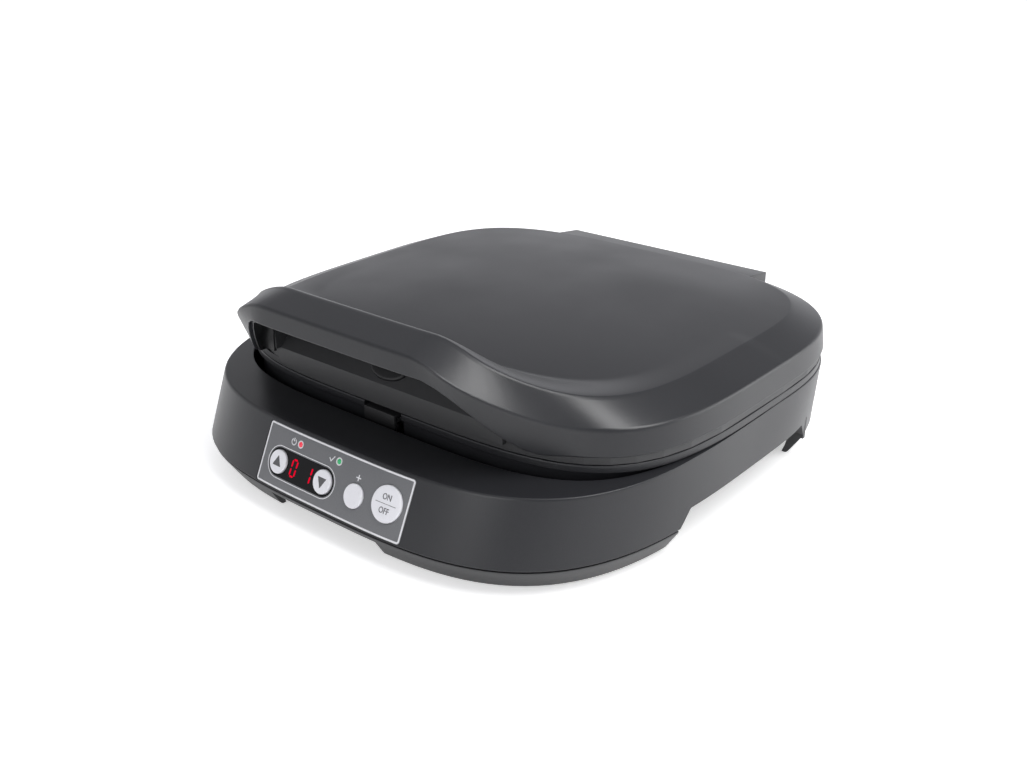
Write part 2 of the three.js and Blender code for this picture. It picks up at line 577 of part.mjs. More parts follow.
function cookingPlate(depth) {
  const slab = prism(PLATE_PLAN, -PLATE.rim, 0, QUARTER);
  const cupBottom = -depth - PLATE.cupWall;
  const cups = WELL_SPOTS.map(([x, y]) => rodZ(
    WELL_RADIUS + PLATE.cupWall, WELL_RADIUS + PLATE.cupWall - PLATE.taper, x, y, cupBottom, -PLATE.rim / 2,
    ROUND));
  const wells = WELL_SPOTS.map(([x, y]) => rodZ(
    WELL_RADIUS, WELL_RADIUS - PLATE.taper, x, y, -depth, 0, ROUND));
  const reliefs = WELL_SPOTS.map(([x, y]) => rodZ(
    WELL_RADIUS, WELL_RADIUS, x, y, 0, OVERRUN, ROUND));
  return without(joined([slab, ...cups]), [...wells, ...reliefs]);
}

const lowerPlate = cookingPlate(PLATE.lowerDepth).translate([0, 0, PARTING_Z]);
const upperPlate = cookingPlate(PLATE.upperDepth).mirror([0, 0, 1]).translate([0, 0, LID_Z]);

const LOWER_ELEMENT_Z = PARTING_Z - PLATE.lowerDepth - PLATE.cupWall - GAP - ELEMENT.radius;
const UPPER_ELEMENT_Z = LID_Z + PLATE.upperDepth + PLATE.cupWall + GAP + ELEMENT.radius;

// A heating tube: a loop with round corners under the cups, open at the right where its two tails leave
function heatingElement(z) {
  const path = new THREE.CurvePath();
  const { corner, tail } = ELEMENT;
  const halfX = WELL_X + ELEMENT.pastWell;
  const halfY = WELL_Y + ELEMENT.pastWellEnd;
  const inlet = corner + corner / 2;
  const y0 = PLATE_PLAN.middle + (PLATE_PLAN.rear - PLATE_PLAN.front) / 2;
  const point = (x, y) => new THREE.Vector3(x, y0 + y, z);
  const line = (a, b) => path.add(new THREE.LineCurve3(a, b));
  const bend = (a, b, c) => path.add(new THREE.QuadraticBezierCurve3(a, b, c));
  line(point(halfX + tail, corner), point(halfX + corner / 2, corner));
  bend(point(halfX + corner / 2, corner), point(halfX, corner), point(halfX, inlet));
  line(point(halfX, inlet), point(halfX, halfY - corner / 2));
  bend(point(halfX, halfY - corner / 2), point(halfX, halfY), point(halfX - corner, halfY));
  line(point(halfX - corner, halfY), point(corner - halfX, halfY));
  bend(point(corner - halfX, halfY), point(-halfX, halfY), point(-halfX, halfY - corner));
  line(point(-halfX, halfY - corner), point(-halfX, corner - halfY));
  bend(point(-halfX, corner - halfY), point(-halfX, -halfY), point(corner - halfX, -halfY));
  line(point(corner - halfX, -halfY), point(halfX - corner, -halfY));
  bend(point(halfX - corner, -halfY), point(halfX, -halfY), point(halfX, corner / 2 - halfY));
  line(point(halfX, corner / 2 - halfY), point(halfX, -inlet));
  bend(point(halfX, -inlet), point(halfX, -corner), point(halfX + corner / 2, -corner));
  line(point(halfX + corner / 2, -corner), point(halfX + tail, -corner));
  const section = new THREE.Shape().absarc(0, 0, ELEMENT.radius, 0, Math.PI * 2);
  return new THREE.ExtrudeGeometry(section, {
    steps: ELEMENT.steps, curveSegments: ELEMENT.sides, extrudePath: path, bevelEnabled: false,
  });
}

// A heat shield: a shallow tray with its floor away from the plate
function heatShield(depth) {
  const outer = prism(SHIELD_PLAN, 0, depth, QUARTER / 2);
  return outer.subtract(
    prism(grown(SHIELD_PLAN, -SHIELD_WALL), SHIELD_WALL, depth + OVERRUN, QUARTER / 2));
}

const LOWER_SHIELD_Z = LOWER_ELEMENT_Z - ELEMENT.radius - GAP - SHIELD_WALL;
const UPPER_SHIELD_Z = UPPER_ELEMENT_Z + ELEMENT.radius + GAP + SHIELD_WALL;

// Hinge

function hingeArm(side) {
  const inner = Math.min(side * HINGE.armIn, side * HINGE.armOut);
  const outer = Math.max(side * HINGE.armIn, side * HINGE.armOut);
  const low = LIP_BOTTOM + GAP;
  const plate = alongX([
    [HINGE.armFront, low],
    [HINGE.frameCut, low],
    [HINGE.y, HINGE.z - HINGE.headRadius],
    [HINGE.y, HINGE.z + HINGE.headRadius],
    [HINGE.frameCut, HINGE.armTop],
    [HINGE.armFront, HINGE.armTop],
  ], inner, outer);
  const flangeEdge = side * (HINGE.armIn - HINGE.armFlange);
  const flange = box(Math.min(flangeEdge, side * HINGE.armIn), Math.max(flangeEdge, side * HINGE.armIn),
    HINGE.armFront, HINGE.frameCut - GAP, low, low + HINGE.armOut - HINGE.armIn);
  const head = rodX(HINGE.headRadius, inner, outer, HINGE.y, HINGE.z);
  const bore = rodX(HINGE.pinRadius + GAP, inner - OVERRUN, outer + OVERRUN, HINGE.y, HINGE.z);
  return joined([plate, flange, head]).subtract(bore);
}

function hingeBracket(side) {
  const inner = Math.min(side * HINGE.bracketIn, side * HINGE.bracketOut);
  const outer = Math.max(side * HINGE.bracketIn, side * HINGE.bracketOut);
  const bottom = PAN.floor + PAN.thickness + GAP;
  const leg = box(inner, outer, HINGE.bracketFront, HINGE.bracketRear, bottom, HINGE.z);
  const footEdge = side * (HINGE.bracketIn - HINGE.bracketFoot);
  const foot = box(Math.min(footEdge, side * HINGE.bracketOut), Math.max(footEdge, side * HINGE.bracketOut),
    HINGE.bracketFront, HINGE.bracketRear, bottom, bottom + HINGE.bracketOut - HINGE.bracketIn);
  const head = rodX(HINGE.headRadius, inner, outer, HINGE.y, HINGE.z);
  const bore = rodX(HINGE.pinRadius + GAP, inner - OVERRUN, outer + OVERRUN, HINGE.y, HINGE.z);
  return joined([leg, foot, head]).subtract(bore);
}

function hingePin(side) {
  const inner = side * (HINGE.armIn - GAP);
  const outer = side * HINGE.pinOut;
  return rodX(HINGE.pinRadius, Math.min(inner, outer), Math.max(inner, outer), HINGE.y, HINGE.z);
}

// Base body

const BODY_TOP_Z = RIM_Z - GAP;

function bodyLoft(inset, z0, z1) {
  const at = (z) => {
    const share = (z - SEAM_Z) / (BODY_TOP_Z - SEAM_Z);
    const plan = {};
    for (const key of Object.keys(SEAM_PLAN)) {
      plan[key] = THREE.MathUtils.lerp(SEAM_PLAN[key], BODY_TOP_PLAN[key], share);
    }
    return ring(grown(plan, -inset), z);
  };
  return loft([at(z0), at(z1)]);
}

// Everything above the deck's slope, moved down by depth
function aboveDeck(depth) {
  const reach = SEAM_PLAN.half + OVERRUN;
  const rearY = DECK.frontY + (BODY_TOP_Z + OVERRUN - DECK.frontZ) / DECK.slope;
  const frontY = -SEAM_PLAN.front - OVERRUN;
  const frontZ = DECK.frontZ + (frontY - DECK.frontY) * DECK.slope;
  return alongX([
    [frontY, frontZ - depth],
    [rearY, BODY_TOP_Z + OVERRUN - depth],
    [rearY, BODY_TOP_Z + OVERRUN * 3],
    [frontY, BODY_TOP_Z + OVERRUN * 3],
  ], -reach, reach);
}

function sideNotch(side, inner, height) {
  const outer = SEAM_PLAN.half + OVERRUN;
  const section = [
    [NOTCH.frontLow, SEAM_Z - OVERRUN * 3],
    [NOTCH.frontLow, SEAM_Z],
    [NOTCH.frontHigh, height],
    [NOTCH.rearHigh, height],
    [NOTCH.rearLow, SEAM_Z],
    [NOTCH.rearLow, SEAM_Z - OVERRUN * 3],
  ];
  return alongX(section, side > 0 ? inner : -outer, side > 0 ? outer : -inner);
}

// Panel frame

const PANEL_TILT = THREE.MathUtils.degToRad(PANEL.tilt);
const panelFrame = new THREE.Matrix4()
  .makeTranslation(PANEL.x, WALL_FRONT_Y + (PANEL.z - SEAM_Z) * Math.tan(PANEL_TILT), PANEL.z)
  .multiply(new THREE.Matrix4().makeRotationX(Math.PI / 2 - PANEL_TILT));
const FACE_W = -PANEL.recess;                      // outer face of the fascia
const FASCIA_BACK = FACE_W - PANEL.thickness;
const BOARD_FACE = FASCIA_BACK - BUTTON.flangeHeight - BUTTON.travel - GAP - BUTTON.stem - SWITCH.plunger
  - SWITCH.height;

const onPanel = (geometry) => geometry.clone().applyMatrix4(panelFrame);
const panelSolid = (solid) => toSolid(onPanel(toGeometry(solid)));

function roundedRect(width, height, radius, u = 0, v = 0) {
  const shape = new THREE.Shape();
  const x = width / 2;
  const y = height / 2;
  shape.moveTo(u - x + radius, v - y);
  shape.lineTo(u + x - radius, v - y);
  shape.absarc(u + x - radius, v - y + radius, radius, -Math.PI / 2, 0);
  shape.absarc(u + x - radius, v + y - radius, radius, 0, Math.PI / 2);
  shape.absarc(u - x + radius, v + y - radius, radius, Math.PI / 2, Math.PI);
  shape.absarc(u - x + radius, v - y + radius, radius, Math.PI, Math.PI * 1.5);
  return shape;
}

function plateOf(shape, w0, w1, segments = 6) {
  const geometry = new THREE.ExtrudeGeometry(shape, {
    depth: w1 - w0, bevelEnabled: false, curveSegments: segments,
  });
  return toSolid(geometry.translate(0, 0, w0));
}

const rodW = (radius, u, v, w0, w1, sides) => rodZ(radius, radius, u, v, w0, w1, sides);

const buttonSpots = [
  { name: 'up_button', u: WINDOW.left, v: WINDOW.v, radius: ARROW_BUTTON.radius },
  { name: 'down_button', u: WINDOW.right, v: WINDOW.v, radius: ARROW_BUTTON.radius },
  { name: 'more_button', u: MORE_BUTTON.u, v: MORE_BUTTON.v, radius: MORE_BUTTON.radius },
  { name: 'start_button', u: START_BUTTON.u, v: START_BUTTON.v, radius: START_BUTTON.radius },
];
const lensSpots = [
  { name: 'power_lens', u: WINDOW.left + LENS.redPast, v: LENS.v, material: redLens },
  { name: 'ready_lens', u: WINDOW.left + LENS.greenPast, v: LENS.v, material: greenLens },
];

function panelFascia() {
  const plate = plateOf(roundedRect(PANEL.width, PANEL.height, PANEL.corner), FASCIA_BACK, FACE_W);
  const windowWidth = WINDOW.right - WINDOW.left + 2 * (WINDOW.radius + GAP);
  const windowHole = plateOf(roundedRect(windowWidth, 2 * (WINDOW.radius + GAP), WINDOW.radius + GAP,
    (WINDOW.left + WINDOW.right) / 2, WINDOW.v), FASCIA_BACK - OVERRUN, OVERRUN, SMALL_ROUND / 2);
  const holes = [MORE_BUTTON, START_BUTTON]
    .map(({ u, v, radius }) => rodW(radius + BUTTON.clearance, u, v, FASCIA_BACK - OVERRUN, OVERRUN, ROUND));
  const lensHoles = lensSpots
    .map(({ u, v }) => rodW(LENS.radius + GAP, u, v, FASCIA_BACK - OVERRUN, OVERRUN, SMALL_ROUND));
  return without(plate, [windowHole, ...holes, ...lensHoles]);
}

function displayWindow() {
  const width = WINDOW.right - WINDOW.left + 2 * WINDOW.radius;
  const centre = (WINDOW.left + WINDOW.right) / 2;
  const face = plateOf(roundedRect(width, 2 * WINDOW.radius, WINDOW.radius, centre, WINDOW.v),
    FASCIA_BACK - GAP, FACE_W, SMALL_ROUND / 2);
  const rim = plateOf(roundedRect(width + 2 * WINDOW.rim, 2 * (WINDOW.radius + WINDOW.rim),
    WINDOW.radius + WINDOW.rim, centre, WINDOW.v), FASCIA_BACK - GAP - WINDOW.thickness, FASCIA_BACK - GAP,
  SMALL_ROUND / 2);
  const holes = buttonSpots.slice(0, 2)
    .map(({ u, v, radius }) => rodW(radius + BUTTON.clearance, u, v, BOARD_FACE, OVERRUN, ROUND));
  return without(face.add(rim), holes);
}

// A push button: cap, retaining flange behind the panel and stem to its switch
function pushButton({ u, v, radius }) {
  const flangeTop = FASCIA_BACK - GAP - WINDOW.thickness - GAP;
  const flangeLow = flangeTop - BUTTON.flangeHeight;
  const profile = [
    [0, FACE_W + BUTTON.stand],
    [radius * CROWN_START_SHARE, FACE_W + BUTTON.stand - BUTTON.crown],
    [radius - BUTTON.edge, FACE_W + BUTTON.stand - BUTTON.edge],
    [radius, FACE_W + BUTTON.stand - BUTTON.edge * 2],
    [radius, flangeTop],
    [radius + BUTTON.flange, flangeTop],
    [radius + BUTTON.flange, flangeLow],
    [BUTTON.stemRadius, flangeLow],
    [BUTTON.stemRadius, BOARD_FACE + SWITCH.height + SWITCH.plunger + BUTTON.travel + GAP],
    [0, BOARD_FACE + SWITCH.height + SWITCH.plunger + BUTTON.travel + GAP],
  ];
  return onPanel(turned(profile.reverse(), ROUND).translate(u, v, 0));
}

function indicatorLens({ u, v }) {
  const back = FASCIA_BACK - GAP;
  const profile = [
    [0, back - LENS.length],
    [LENS.radius, back - LENS.length],
    [LENS.radius, back - LENS.bezelBack],
    [LENS.bezel, back - LENS.bezelBack],
    [LENS.bezel, back],
    [LENS.radius, back],
    [LENS.radius, FACE_W],
    [LENS.radius * CROWN_START_SHARE, FACE_W + LENS.edge],
    [0, FACE_W + LENS.stand],
  ];
  return onPanel(turned(profile).translate(u, v, 0));
}

function digitDisplay() {
  const centre = (WINDOW.left + WINDOW.right) / 2;
  const top = FASCIA_BACK - GAP - WINDOW.thickness - GAP;
  return panelSolid(box(centre - DISPLAY.width / 2, centre + DISPLAY.width / 2,
    WINDOW.v - DISPLAY.height / 2, WINDOW.v + DISPLAY.height / 2, top - DISPLAY.depth, top));
}

function tactSwitch({ u, v }) {
  const half = SWITCH.size / 2;
  const can = box(u - half, u + half, v - half, v + half, BOARD_FACE, BOARD_FACE + SWITCH.height);
  const plunger = rodW(SWITCH.plungerRadius, u, v, BOARD_FACE + SWITCH.height / 2,
    BOARD_FACE + SWITCH.height + SWITCH.plunger);
  return panelSolid(can.add(plunger));
}

function controlBoard() {
  const half = PANEL.width / 2 - BOARD.inset;
  const top = BOARD_FACE - GAP;
  return panelSolid(box(-half, half, BOARD.low, BOARD.high, top - BOARD.thickness, top));
}

// Four places that keep their insets from the seam's sides and their distances from its front and rear
function cornerSpots({ frontInset, rearInset, fromFront, fromRear }) {
  const frontX = SEAM_PLAN.half - frontInset;
  const rearX = SEAM_PLAN.half - rearInset;
  const frontY = WALL_FRONT_Y + fromFront;
  const rearY = REAR_WALL_Y - fromRear;
  return [[-frontX, frontY], [frontX, frontY], [-rearX, rearY], [rearX, rearY]];
}

function screwPost([x, y]) {
  const side = Math.sign(x);
  const bottom = PAN.floor + PAN.thickness + GAP;
  const post = rodZ(SCREW.post, SCREW.post, x, y, bottom, SCREW_POST.top);
  const ribEnd = x + side * SCREW_POST.ribReach;
  const ribHalf = SCREW_POST.ribWide / 2;
  const rib = box(Math.min(x, ribEnd), Math.max(x, ribEnd), y - ribHalf, y + ribHalf,
    SCREW_POST.ribBottom, SCREW_POST.top);
  const boreRadius = SCREW.radius + GAP;
  const bore = rodZ(boreRadius, boreRadius, x, y, bottom - OVERRUN, PAN.floor + SCREW.length + GAP);
  return { solid: post.add(rib), bore };
}

const FLOOR_TOP = PAN.floor + PAN.thickness;
const screwSpots = cornerSpots(SCREW);

function baseBody() {
  const top = BODY_TOP_Z;
  const outer = bodyLoft(0, SEAM_Z, top).subtract(aboveDeck(0));
  const inner = bodyLoft(BODY.wall, SEAM_Z - OVERRUN, top - BODY.wall).subtract(aboveDeck(BODY.wall));
  const margin = PANEL.bossMargin;
  const boss = panelSolid(plateOf(roundedRect(PANEL.width + 2 * margin, PANEL.height, PANEL.corner),
    FASCIA_BACK - PANEL.bossWall, 0)).intersect(outer);
  const posts = screwSpots.map(screwPost);
  const shell = joined([outer.subtract(inner), boss, ...posts.map(({ solid }) => solid.intersect(outer))]);
  const deep = FASCIA_BACK - PANEL.bossWall - OVERRUN;
  const panelRect = (wider) => roundedRect(
    PANEL.width + 2 * wider, PANEL.height + 2 * wider, PANEL.corner + Math.max(0, wider));
  const pocket = panelSolid(plateOf(panelRect(GAP), FASCIA_BACK - GAP, OVERRUN));
  const aperture = panelSolid(plateOf(panelRect(-PANEL.ledge), deep, OVERRUN));
  const lensSeats = lensSpots.map(({ u, v }) => ({ u, v, radius: LENS.bezel - BUTTON.flange }));
  const seats = [...buttonSpots, ...lensSeats].map(({ u, v, radius }) => panelSolid(
    rodW(radius + BUTTON.flange + GAP, u, v, deep, OVERRUN, ROUND)));
  const opening = prism(OPENING_PLAN, RIM.skirtBottom - GAP, top + OVERRUN);
  const well = box(-HINGE.wellHalf, HINGE.wellHalf, HINGE.wellFront, REAR_WALL_Y + OVERRUN,
    HINGE.wellFloor, top + OVERRUN);
  const glandHole = toSolid(new THREE.CylinderGeometry(GLAND.bodyRadius + GAP, GLAND.bodyRadius + GAP,
    GLAND.length * 2, SMALL_ROUND).translate(GLAND.x, REAR_WALL_Y, GLAND.z));
  const notches = [-1, 1].map((side) => sideNotch(side, TUNNEL_HALF, NOTCH.top));
  return without(shell, [
    pocket, aperture, ...seats, opening, well, glandHole, ...notches, ...posts.map(({ bore }) => bore),
  ]);
}

// Base rim

function baseRim() {
  const inner = grown(PLATE_PLAN, FRAME.openingGap);
  const flange = prism(FRAME_PLAN, RIM_Z, PARTING_Z);
  const wall = prism(RIM_SKIRT_PLAN, RIM.skirtBottom, RIM_Z + GAP)
    .subtract(prism(grown(RIM_SKIRT_PLAN, -RIM.skirtWall), RIM.skirtBottom - OVERRUN, RIM_Z));
  const notch = CATCH.notchHalf;
  return without(flange.add(wall), [
    prism(inner, RIM_Z - OVERRUN, PARTING_Z + OVERRUN),
    box(-notch, notch, -RECESS_FRONT, CATCH.notchRear, 0, PARTING_Z + OVERRUN),
    box(-HINGE.wellHalf, HINGE.wellHalf, HINGE.wellFront, REAR_WALL_Y + OVERRUN, 0, PARTING_Z + OVERRUN),
  ]);
}

// Base pan, its feet and screws

const footSpots = cornerSpots(FOOT);

function basePan() {
  const inset = BODY.wall + GAP;
  const tray = bodyLoft(inset, PAN.floor, PAN.wallTop);
  const hollow = bodyLoft(inset + PAN.wall, FLOOR_TOP, PAN.wallTop + OVERRUN);
  const lipTop = SEAM_Z - GAP;
  const skirt = loft([
    ring(grown(SEAM_PLAN, -PAN.footInset), PAN.footBottom),
    ring(grown(SEAM_PLAN, -PAN.lipInset), lipTop),
  ]);
  const under = loft([
    ring(grown(SEAM_PLAN, -PAN.footInset - PAN.footWall), PAN.footBottom - OVERRUN),
    ring(grown(SEAM_PLAN, -PAN.lipInset - PAN.footWall * 2), PAN.floor),
  ]);
  const reach = SEAM_PLAN.half + OVERRUN;
  const rearHalf = SEAM_PLAN.half - PAN.rearInset;
  const skirtCuts = [
    box(-PAN.frontHalf, PAN.frontHalf, -reach * 2, 0, -OVERRUN, PAN.floor),
    box(-rearHalf, rearHalf, 0, reach * 2, -OVERRUN, PAN.floor),
  ];
  const feet = without(skirt, [under, ...skirtCuts]);
  const blocks = [-1, 1].map((side) => {
    const x0 = side > 0 ? TUNNEL_HALF - PAN.wall : -reach;
    const x1 = side > 0 ? reach : PAN.wall - TUNNEL_HALF;
    const [y0, y1] = [NOTCH.frontLow - PAN.wall, NOTCH.rearLow + PAN.wall];
    return box(x0, x1, y0, y1, PAN.floor, PAN.wallTop).intersect(tray);
  });
  const tunnels = [-1, 1].map((side) => sideNotch(side, TUNNEL_HALF, NOTCH.top - GAP));
  const bosses = footSpots.map(([x, y]) => rodZ(FOOT.bossRadius, FOOT.bossRadius, x, y,
    FOOT.height + GAP, PAN.floor + PAN.thickness));
  const footBores = footSpots.map(([x, y]) => rodZ(FOOT.stemRadius + GAP, FOOT.stemRadius + GAP, x, y,
    FOOT.height - OVERRUN, FOOT.height + FOOT.stem + GAP));
  const screwHoles = screwSpots.map(([x, y]) => rodZ(SCREW.radius + GAP, SCREW.radius + GAP, x, y,
    PAN.floor - OVERRUN, PAN.floor + OVERRUN));
  const trayCut = PANEL.width / 2 + PANEL.trayMargin;
  const panelCut = box(PANEL.x - trayCut, PANEL.x + trayCut, -reach * 2,
    WALL_FRONT_Y + PANEL.trayCutDepth, FLOOR_TOP, PAN.wallTop + OVERRUN);
  const glandReach = GLAND.flangeRadius + GAP;
  const glandCut = box(GLAND.x - glandReach, GLAND.x + glandReach, HINGE.bracketRear, REAR_WALL_Y + OVERRUN,
    GLAND.z - glandReach, PAN.wallTop + OVERRUN);
  const solid = joined([tray.subtract(hollow), feet, ...blocks, ...bosses]);
  return without(solid, [...tunnels, ...footBores, ...screwHoles, panelCut, glandCut]);
}

function rubberFoot([x, y]) {
  const profile = [
    [0, 0],
    [FOOT.radius - FOOT.ease, 0],
    [FOOT.radius, FOOT.ease],
    [FOOT.radius, FOOT.height],
    [FOOT.stemRadius, FOOT.height],
    [FOOT.stemRadius, FOOT.height + FOOT.stem],
    [0, FOOT.height + FOOT.stem],
  ];
  return turned(profile).translate(x, y, 0);
}

function baseScrew([x, y]) {
  const top = PAN.floor - GAP;
  const profile = [
    [0, top - SCREW.headHeight],
    [SCREW.head - SCREW.ease, top - SCREW.headHeight],
    [SCREW.head, top - SCREW.headHeight + SCREW.ease],
    [SCREW.head, top],
    [SCREW.radius, top],
    [SCREW.radius, top + SCREW.length],
    [0, top + SCREW.length],
  ];
  return turned(profile).translate(x, y, 0);
}

// Latch

function latchButton() {
  const { buttonRise: r, stand, stem, stemRadius, flange, flangeHeight } = LATCH;
  const under = -RECESS.wall - GAP;
  const profile = [
    [0, -stem - flangeHeight],
    [stemRadius, -stem - flangeHeight],
    [stemRadius, under - flangeHeight],
    [r + flange, under - flangeHeight],
    [r + flange, under],
    [r, under],
    [r, stand / 2],
    [r - stand / 2, stand],
    [0, stand],
  ];
  return onSlope(turned(profile, ROUND), LATCH.buttonHalf / r);
}

function latchHook() {
  const half = LATCH.hookHalf;
  const blade = alongX([
    [LATCH.bladeFront, LATCH.footTop],
    [LATCH.bladeFront, LATCH.bladeBottom],
    [LATCH.bladeBack, LATCH.bladeBottom],
    [LATCH.noseTip, LATCH.noseTop],
    [LATCH.bladeBack, LATCH.noseTop],
    [LATCH.bladeBack, LATCH.footBottom],
    [LATCH.shankBack, LATCH.footBottom],
    [LATCH.shankBack, LATCH.pivotZ],
    [LATCH.shankFront, LATCH.pivotZ],
    [LATCH.shankFront, LATCH.footTop],
  ], -half, half);
  const boss = rodX(LATCH.bossRadius, -half, half, LATCH.pivotY, LATCH.pivotZ);
  const web = box(-half, half, LATCH.shankFront, LATCH.pivotY, LATCH.pivotZ - LATCH.bossRadius, LATCH.pivotZ);
  const arm = alongX([
    [LATCH.pivotY, LATCH.pivotZ - LATCH.armLow],
    [LATCH.armBack, LATCH.pivotZ - LATCH.armLow],
    [LATCH.armBack, LATCH.armTop],
    [LATCH.armFront, LATCH.armTop],
    [LATCH.armFront, LATCH.pivotZ + LATCH.armLow],
    [LATCH.pivotY, LATCH.pivotZ + LATCH.armLow],
  ], -LATCH.armHalf, LATCH.armHalf);
  const bore = rodX(LATCH.pinRadius + GAP, -LATCH.earOut, LATCH.earOut, LATCH.pivotY, LATCH.pivotZ);
  return joined([blade, boss, web, arm]).subtract(bore);
}

function latchSpring() {
  const points = [];
  const count = SPRING.turns * SPRING.stepsPerTurn;
  for (let i = 0; i <= count; i += 1) {
    const angle = (i / SPRING.stepsPerTurn) * Math.PI * 2;
    points.push(new THREE.Vector3(
      THREE.MathUtils.lerp(SPRING.start, SPRING.end, i / count),
      LATCH.pivotY + SPRING.radius * Math.cos(angle),
      LATCH.pivotZ + SPRING.radius * Math.sin(angle)));
  }
  const section = new THREE.Shape().absarc(0, 0, SPRING.wire, 0, Math.PI * 2);
  const extrudePath = new THREE.CatmullRomCurve3(points);
  return new THREE.ExtrudeGeometry(section, {
    steps: count, curveSegments: SPRING.sides, extrudePath, bevelEnabled: false,
  });
}

function latchCatch() {
  const plate = box(-CATCH.half, CATCH.half, CATCH.front, CATCH.back, CATCH.bottom, CATCH.top);
  return plate.add(box(-CATCH.lipHalf, CATCH.lipHalf, CATCH.lipTip, CATCH.back, CATCH.lipBottom, CATCH.top));
}

// Pieces inside the base

function cordGland() {
  const wallIn = -BODY.wall - GAP - GLAND.lean;
  const profile = [
    [GLAND.bore, -GLAND.length],
    [GLAND.bodyRadius, -GLAND.length],
    [GLAND.bodyRadius, wallIn - GLAND.nut],
    [GLAND.flangeRadius, wallIn - GLAND.nut],
    [GLAND.flangeRadius, wallIn],
    [GLAND.bodyRadius, wallIn],
    [GLAND.bodyRadius, GAP],
    [GLAND.flangeRadius, GAP],
    [GLAND.flangeRadius, GLAND.flange],
    [GLAND.bore, GLAND.flange],
    [GLAND.bore, -GLAND.length],
  ];
  const geometry = new THREE.LatheGeometry(profile.map(([r, h]) => new THREE.Vector2(r, h)), SMALL_ROUND);
  return geometry.translate(GLAND.x, REAR_WALL_Y, GLAND.z);
}

function standingBox({ width, depth, height }, x, y, bottom) {
  return box(x - width / 2, x + width / 2, y - depth / 2, y + depth / 2, bottom, bottom + height);
}

const BOARD_BOTTOM = FLOOR_TOP + GAP + POWER_BOARD.stand;

function powerBoard() {
  const spacers = [-1, 1].flatMap((i) => [-1, 1].map((j) => rodZ(SPACER.radius, SPACER.radius,
    POWER_BOARD.x + i * (POWER_BOARD.width / 2 - SPACER.inset),
    POWER_BOARD.y + j * (POWER_BOARD.depth / 2 - SPACER.inset), FLOOR_TOP + GAP, BOARD_BOTTOM)));
  return joined([standingBox(POWER_BOARD, POWER_BOARD.x, POWER_BOARD.y, BOARD_BOTTOM), ...spacers]);
}

function temperatureSensor(z, up) {
  const { radius, height, clip } = SENSOR;
  const start = up ? z : z - height;
  return rodZ(radius, radius, 0, PLATE_PLAN.middle, start, start + height).add(
    rodZ(radius + clip, radius + clip, 0, PLATE_PLAN.middle, up ? z : z - clip, up ? z + clip : z));
}

// Assembly

const maker = new THREE.Group();
const base = new THREE.Group();
const lid = new THREE.Group();
maker.add(base, lid);

function add(group, name, shape, material) {
  const geometry = shape.isBufferGeometry ? shape : toGeometry(shape);
  const mesh = new THREE.Mesh(geometry, material);
  mesh.name = name;
  group.add(mesh);
}

add(lid, 'lid_cover', lidCover(), charcoal);
add(lid, 'handle_grip', handleGrip(), darkCharcoal);
add(lid, 'lid_frame', lidFrame(), darkCharcoal);
add(lid, 'upper_plate', upperPlate, nonStick);
add(lid, 'upper_heating_element', heatingElement(UPPER_ELEMENT_Z), steel);
add(lid, 'upper_heat_shield', heatShield(UPPER_SHIELD_Z - LID_Z - PLATE.rim - GAP).mirror([0, 0, 1])
  .translate([0, 0, UPPER_SHIELD_Z]), aluminium);
add(lid, 'latch_button', latchButton(), darkCharcoal);
add(lid, 'latch_hook', latchHook(), darkCharcoal);
add(lid, 'latch_pin', rodX(LATCH.pinRadius, -LATCH.earOut, LATCH.earOut, LATCH.pivotY, LATCH.pivotZ), steel);
add(lid, 'latch_spring', latchSpring(), steel);
add(lid, 'upper_temperature_sensor', temperatureSensor(LID_Z + PLATE.rim + GAP, true), steel);
for (const [side, word] of [[-1, 'left'], [1, 'right']]) {
  add(lid, `hinge_arm_${word}`, hingeArm(side), steel);
  add(base, `hinge_bracket_${word}`, hingeBracket(side), steel);
  add(base, `hinge_pin_${word}`, hingePin(side), steel);
}

add(base, 'base_body', baseBody(), charcoal);
add(base, 'base_rim', baseRim(), charcoal);
add(base, 'base_pan', basePan(), darkCharcoal);
add(base, 'lower_plate', lowerPlate, nonStick);
add(base, 'lower_heating_element', heatingElement(LOWER_ELEMENT_Z), steel);
add(base, 'lower_heat_shield', heatShield(PARTING_Z - PLATE.rim - GAP - LOWER_SHIELD_Z)
  .translate([0, 0, LOWER_SHIELD_Z]), aluminium);
add(base, 'lower_temperature_sensor', temperatureSensor(PARTING_Z - PLATE.rim - GAP, false), steel);
add(base, 'latch_catch', latchCatch(), steel);
add(base, 'panel_fascia', panelSolid(panelFascia()), fasciaGrey);
add(base, 'display_window', panelSolid(displayWindow()), windowBlack);
add(base, 'digit_display', digitDisplay(), windowBlack);
add(base, 'control_board', controlBoard(), boardGreen);
for (const spot of buttonSpots) {
  add(base, spot.name, pushButton(spot), pearl);
  add(base, spot.name.replace('button', 'switch'), tactSwitch(spot), steel);
}
for (const spot of lensSpots) add(base, spot.name, indicatorLens(spot), spot.material);
footSpots.forEach((spot, i) => add(base, `rubber_foot_${i + 1}`, rubberFoot(spot), rubber));
screwSpots.forEach((spot, i) => add(base, `base_screw_${i + 1}`, baseScrew(spot), steel));
add(base, 'cord_gland', cordGland(), darkCharcoal);
add(base, 'power_board', powerBoard(), boardGreen);
const boardTop = BOARD_BOTTOM + POWER_BOARD.height + GAP;
const boardLeft = POWER_BOARD.x - POWER_BOARD.width / 2;
const onBoard = (piece) => standingBox(piece, boardLeft + piece.fromLeft, POWER_BOARD.y, boardTop);
add(base, 'relay', onBoard(RELAY), windowBlack);
add(base, 'transformer', onBoard(TRANSFORMER), nylon);
add(base, 'terminal_block', standingBox(
  TERMINAL, TUNNEL_HALF - TERMINAL.inset, HINGE.y - TERMINAL.ahead, FLOOR_TOP + GAP), nylon);

